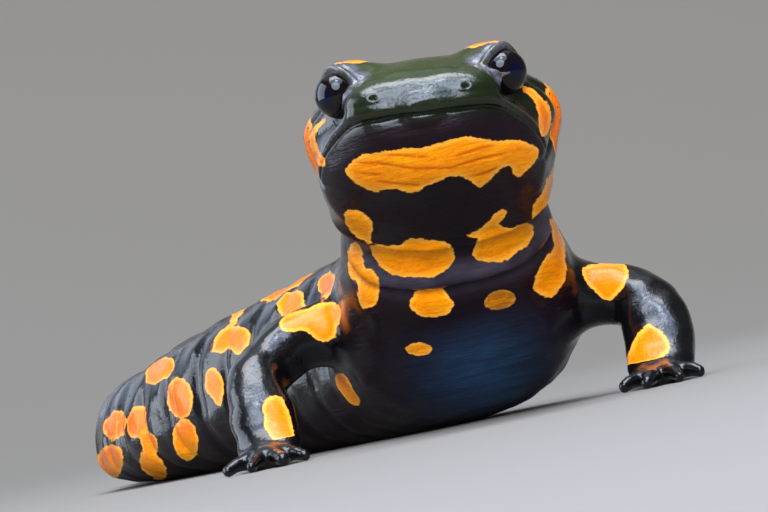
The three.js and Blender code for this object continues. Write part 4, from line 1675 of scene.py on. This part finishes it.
@dataclass
class GlandPores:
    """The dark pores of the skin's glands: thick on the swellings behind the eyes, in two rows
    down the back and one along each flank."""

    body: Body
    rows: Sequence[PoreRow] = (
        PoreRow(2.6, 10.4, 80, 1.35), PoreRow(2.6, 10.4, 100, 1.35),
        PoreRow(3.9, 9.0, 28, 3.9), PoreRow(3.9, 9.0, 152, 3.9))
    per_gland: int = 64  # tried over each gland, of which its outer side keeps some
    gland_side: Row = (0.7, 0.1, 0.7)
    radius: float = 0.115
    flatness: float = 0.4
    smallest: float = 0.6
    largest: float = 1.15
    jitter: float = 0.25
    seed: int = 5
    colour: str = "#050506"

    def places(self) -> Array:
        """Where the pores lie, near the skin, in body coordinates."""
        rng = np.random.default_rng(self.seed)
        loft, found = self.body.torso.loft, []
        for row in self.rows:
            first, last = np.interp((row.first, row.last), loft.at, loft.lengths)
            along = np.arange(first, last, row.spacing)
            along = along + rng.uniform(-self.jitter, self.jitter, len(along))
            angle = np.radians(row.angle_deg + rng.uniform(-3.0, 3.0, len(along)))
            tables = (loft.centres, loft.sizes, loft.sides, loft.normals)
            centres, sizes, sides, normals = (
                np.stack([np.interp(along, loft.lengths, column) for column in table.T], 1)
                for table in tables)
            found.append(centres + (sizes[:, 0] * np.cos(angle))[:, None] * sides
                         + (sizes[:, 1] * np.sin(angle))[:, None] * normals)
        head = self.body.head
        count = np.arange(self.per_gland) + 0.5
        polar, turn = np.arccos(1 - 2 * count / self.per_gland), np.pi * (1 + 5**0.5) * count
        ball = np.stack([np.cos(turn) * np.sin(polar), np.sin(turn) * np.sin(polar), np.cos(polar)], 1)
        for side in SIDES:
            outer = ball[ball @ (np.array(self.gland_side) * (side, 1, 1)) > 0.5]
            x, y, z, *half = head.gland
            found.append(head.to_body(np.array((side * x + head.gland_shift, y, z)) + outer * half))
        return np.vstack(found)

    def tree(self, material: bpy.types.Material) -> bpy.types.NodeTree:
        """Builds the node tree that sets one bead on each point.

        Args:
            material: what the beads are made of.

        Returns:
            The tree, with the sizes as named inputs.
        """
        tree = bpy.data.node_groups.new("gland_pores", "GeometryNodeTree")
        face = tree.interface
        face.new_socket("Geometry", in_out="INPUT", socket_type="NodeSocketGeometry")
        for name, kind in (("Radius", "Float"), ("Flatness", "Float"), ("Smallest", "Float"),
                           ("Largest", "Float"), ("Seed", "Int")):
            face.new_socket(name, in_out="INPUT", socket_type="NodeSocket" + kind)
        face.new_socket("Geometry", in_out="OUTPUT", socket_type="NodeSocketGeometry")
        w = Wiring(tree)
        given = w.node("NodeGroupInput").outputs
        round_bead = {"Radius": given["Radius"], "Subdivisions": 2}
        bead = w.node("GeometryNodeMeshIcoSphere", round_bead).outputs["Mesh"]
        scale = w.node("ShaderNodeCombineXYZ", {"X": 1.0, "Y": 1.0, "Z": given["Flatness"]}).outputs[0]
        bead = w.node("GeometryNodeTransform", {"Geometry": bead, "Scale": scale}).outputs[0]
        way = w.node("GeometryNodeInputNamedAttribute", {"Name": "way"}, data_type="FLOAT_VECTOR").outputs[0]
        turn = w.node("FunctionNodeAlignRotationToVector", {"Vector": way}, axis="Z").outputs[0]
        size = w.node("FunctionNodeRandomValue", data_type="FLOAT")
        sockets = {socket.identifier: socket for socket in size.inputs}
        tree.links.new(given["Smallest"], sockets["Min_001"])
        tree.links.new(given["Largest"], sockets["Max_001"])
        tree.links.new(given["Seed"], sockets["Seed"])
        value = next(socket for socket in size.outputs if socket.identifier == "Value_001")
        links = {"Points": given["Geometry"], "Instance": bead, "Rotation": turn, "Scale": value}
        placed = w.node("GeometryNodeInstanceOnPoints", links).outputs[0]
        solid = w.node("GeometryNodeRealizeInstances", {"Geometry": placed}).outputs[0]
        made = w.node("GeometryNodeSetMaterial", {"Geometry": solid, "Material": material}).outputs[0]
        w.node("NodeGroupOutput", {"Geometry": made})
        return tree

    def material(self) -> bpy.types.Material:
        """Makes the dark, wet rim of a pore."""
        made, w, shader = new_material("wet_pore_rim")
        w.feed(shader, {"Base Color": srgb(self.colour), "Roughness": 0.32})
        return made

    def build(self, skin: bpy.types.Object) -> bpy.types.Object:
        """Sets the pores on the skin.

        Args:
            skin: the finished skin, in metres in the frame.

        Returns:
            One piece that holds them all.
        """
        tree = BVHTree.FromObject(skin, bpy.context.evaluated_depsgraph_get())
        hits = [tree.find_nearest(Vector((place - REST_POINT) * MM)) for place in self.places()]
        points = bpy.data.meshes.new("pore_points")
        points.from_pydata([hit[0] for hit in hits], [], [])
        ways = np.array([hit[1] for hit in hits], np.float32)
        points.attributes.new("way", "FLOAT_VECTOR", "POINT").data.foreach_set("vector", ways.ravel())
        carrier = add_object("pore_points", points)
        modifier = carrier.modifiers.new("pores", "NODES")
        modifier.node_group = self.tree(self.material())
        sizes = {"Radius": self.radius * MM, "Flatness": self.flatness, "Smallest": self.smallest,
                 "Largest": self.largest, "Seed": self.seed}
        for item in modifier.node_group.interface.items_tree:
            if item.in_out == "INPUT" and item.name in sizes:
                modifier[item.identifier] = sizes[item.name]
        evaluated = carrier.evaluated_get(bpy.context.evaluated_depsgraph_get())
        mesh = bpy.data.meshes.new_from_object(evaluated)
        bpy.data.objects.remove(carrier)
        pores = add_object("gland_pores", mesh)
        shade_smooth(mesh)
        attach(pores, "root")
        return pores


# ---------------------------------------------------------------- the stage


class LightName(Enum):
    """The studio's lights."""

    SKY = "sky_softbox"
    SPARK = "catch_light"
    FRONT = "front_softbox"
    FILL = "low_fill_softbox"
    CANOPY = "overhead_canopy"
    SIDE = "side_softbox"
    RIM = "rim_softbox"
    WALL = "backdrop_softbox"


class LightShape(Enum):
    """What a softbox's face looks like, and so its reflection."""

    SQUARE = "SQUARE"
    ROUND = "DISK"


@dataclass(frozen=True)
class Softbox:
    """An area light."""

    name: LightName
    place: Row
    target: Row
    size: float
    watts: float
    colour: str
    shape: LightShape = LightShape.SQUARE
    lights: bool = True  # off for a card that only shows in wet skin
    shows: bool = True  # off for a light that no wet skin reflects

    def build(self) -> None:
        """Hangs the light and aims it."""
        data = bpy.data.lights.new(self.name.value, "AREA")
        data.shape, data.size, data.energy = self.shape.value, self.size, self.watts
        data.color = srgb(self.colour)[:3]
        lamp = bpy.data.objects.new(self.name.value, data)
        lamp.visible_camera = False
        lamp.visible_diffuse, lamp.visible_glossy = self.lights, self.shows
        lamp.location = self.place
        way = Vector(self.target) - Vector(self.place)
        lamp.rotation_euler = way.to_track_quat("-Z", "Y").to_euler()
        bpy.context.collection.objects.link(lamp)


@dataclass(frozen=True)
class Stage:
    """A pale floor that curves up into a backdrop, soft lights and an even surround."""

    half_width: float = 3.0
    front: float = -2.5
    back: float = 0.3
    bend: float = 1.5
    height: float = 2.4
    floor_colour: str = "#7A7874"
    world_colour: str = "#DFE3E8"
    world_strength: float = 0.18
    lights: Sequence[Softbox] = (
        Softbox(LightName.SKY, (0.02, -0.2, 0.43), (0.012, -0.03, 0.02), 0.42, 2.7, "#C9DCFF",
                LightShape.ROUND, lights=False),
        Softbox(LightName.SPARK, (0.05, -0.2, 0.44), (0.012, -0.03, 0.02), 0.08, 0.4, "#DDE8FF",
                LightShape.ROUND),
        Softbox(LightName.FRONT, (-0.02, -0.32, 0.27), (0.0, -0.02, 0.015), 0.27, 1.8, "#E4ECFF",
                LightShape.ROUND),
        Softbox(LightName.FILL, (0.0, -1.3, 0.32), (0.0, 0.0, 0.02), 0.55, 18.0, "#FFF8F4", shows=False),
        Softbox(LightName.CANOPY, (0.0, 0.15, 0.95), (0.0, 0.0, 0.0), 1.1, 2.5, "#DCE8FF"),
        Softbox(LightName.SIDE, (-0.78, 0.05, 0.34), (-0.02, -0.01, 0.01), 0.75, 10.0, "#DCE6F6",
                lights=False),
        Softbox(LightName.RIM, (-0.5, 0.8, 0.42), (-0.02, 0.02, 0.01), 0.6, 1.0, "#CFE0FF"),
        Softbox(LightName.WALL, (0.0, 0.1, 1.6), (0.0, 1.5, 0.3), 1.0, 30.0, "#FFFFFF"),
    )

    def build(self) -> None:
        """Makes the sweep, the lights and the world."""
        arc = [(self.back + self.bend * math.sin(a), self.bend * (1 - math.cos(a)))
               for a in np.linspace(0, math.pi / 2, 49)]
        line = [(self.front, 0.0), *arc, (self.back + self.bend, self.height)]
        verts = [(side * self.half_width, y, z) for y, z in line for side in (-1, 1)]
        faces = [(2 * k, 2 * k + 1, 2 * k + 3, 2 * k + 2) for k in range(len(line) - 1)]
        mesh = bpy.data.meshes.new("studio_sweep")
        mesh.from_pydata(verts, [], faces)
        shade_smooth(mesh)
        paper, w, shader = new_material("matt_backdrop_paper")
        w.feed(shader, {"Base Color": srgb(self.floor_colour), "Roughness": 0.85})
        mesh.materials.append(paper)
        add_object("studio_sweep", mesh)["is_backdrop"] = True
        for light in self.lights:
            light.build()
        world = bpy.data.worlds.new("even_surround")
        world.use_nodes = True
        ground = world.node_tree.nodes["Background"]
        ground.inputs["Color"].default_value = srgb(self.world_colour)
        ground.inputs["Strength"].default_value = self.world_strength
        bpy.context.scene.world = world
        bpy.context.scene.view_settings.view_transform = "Standard"


def main() -> None:
    """Builds the animal and its stage."""
    cad_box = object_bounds()
    view = View()
    view.build()
    body = Body()
    flesh = [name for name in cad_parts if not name.startswith("eye_")]
    box = (np.array(cad_box[0]) + (INSET, INSET, 0.0), np.array(cad_box[1]) - INSET)
    skin = SkinPiece(body, view, flesh, box).build()
    log.info("skin: %d vertices, %d faces", len(skin.data.vertices), len(skin.data.polygons))
    pores = GlandPores(body).build(skin)
    log.info("gland pores: %d faces", len(pores.data.polygons))
    for side, node in ((1.0, "eye_left"), (-1.0, "eye_right")):
        ball = Eye(body.head, side, node).build()
        log.info("%s: %d faces", ball.name, len(ball.data.polygons))
    Stage().build()
    log.info("stage: sweep and lights")


if __name__ == "__main__":
    main()
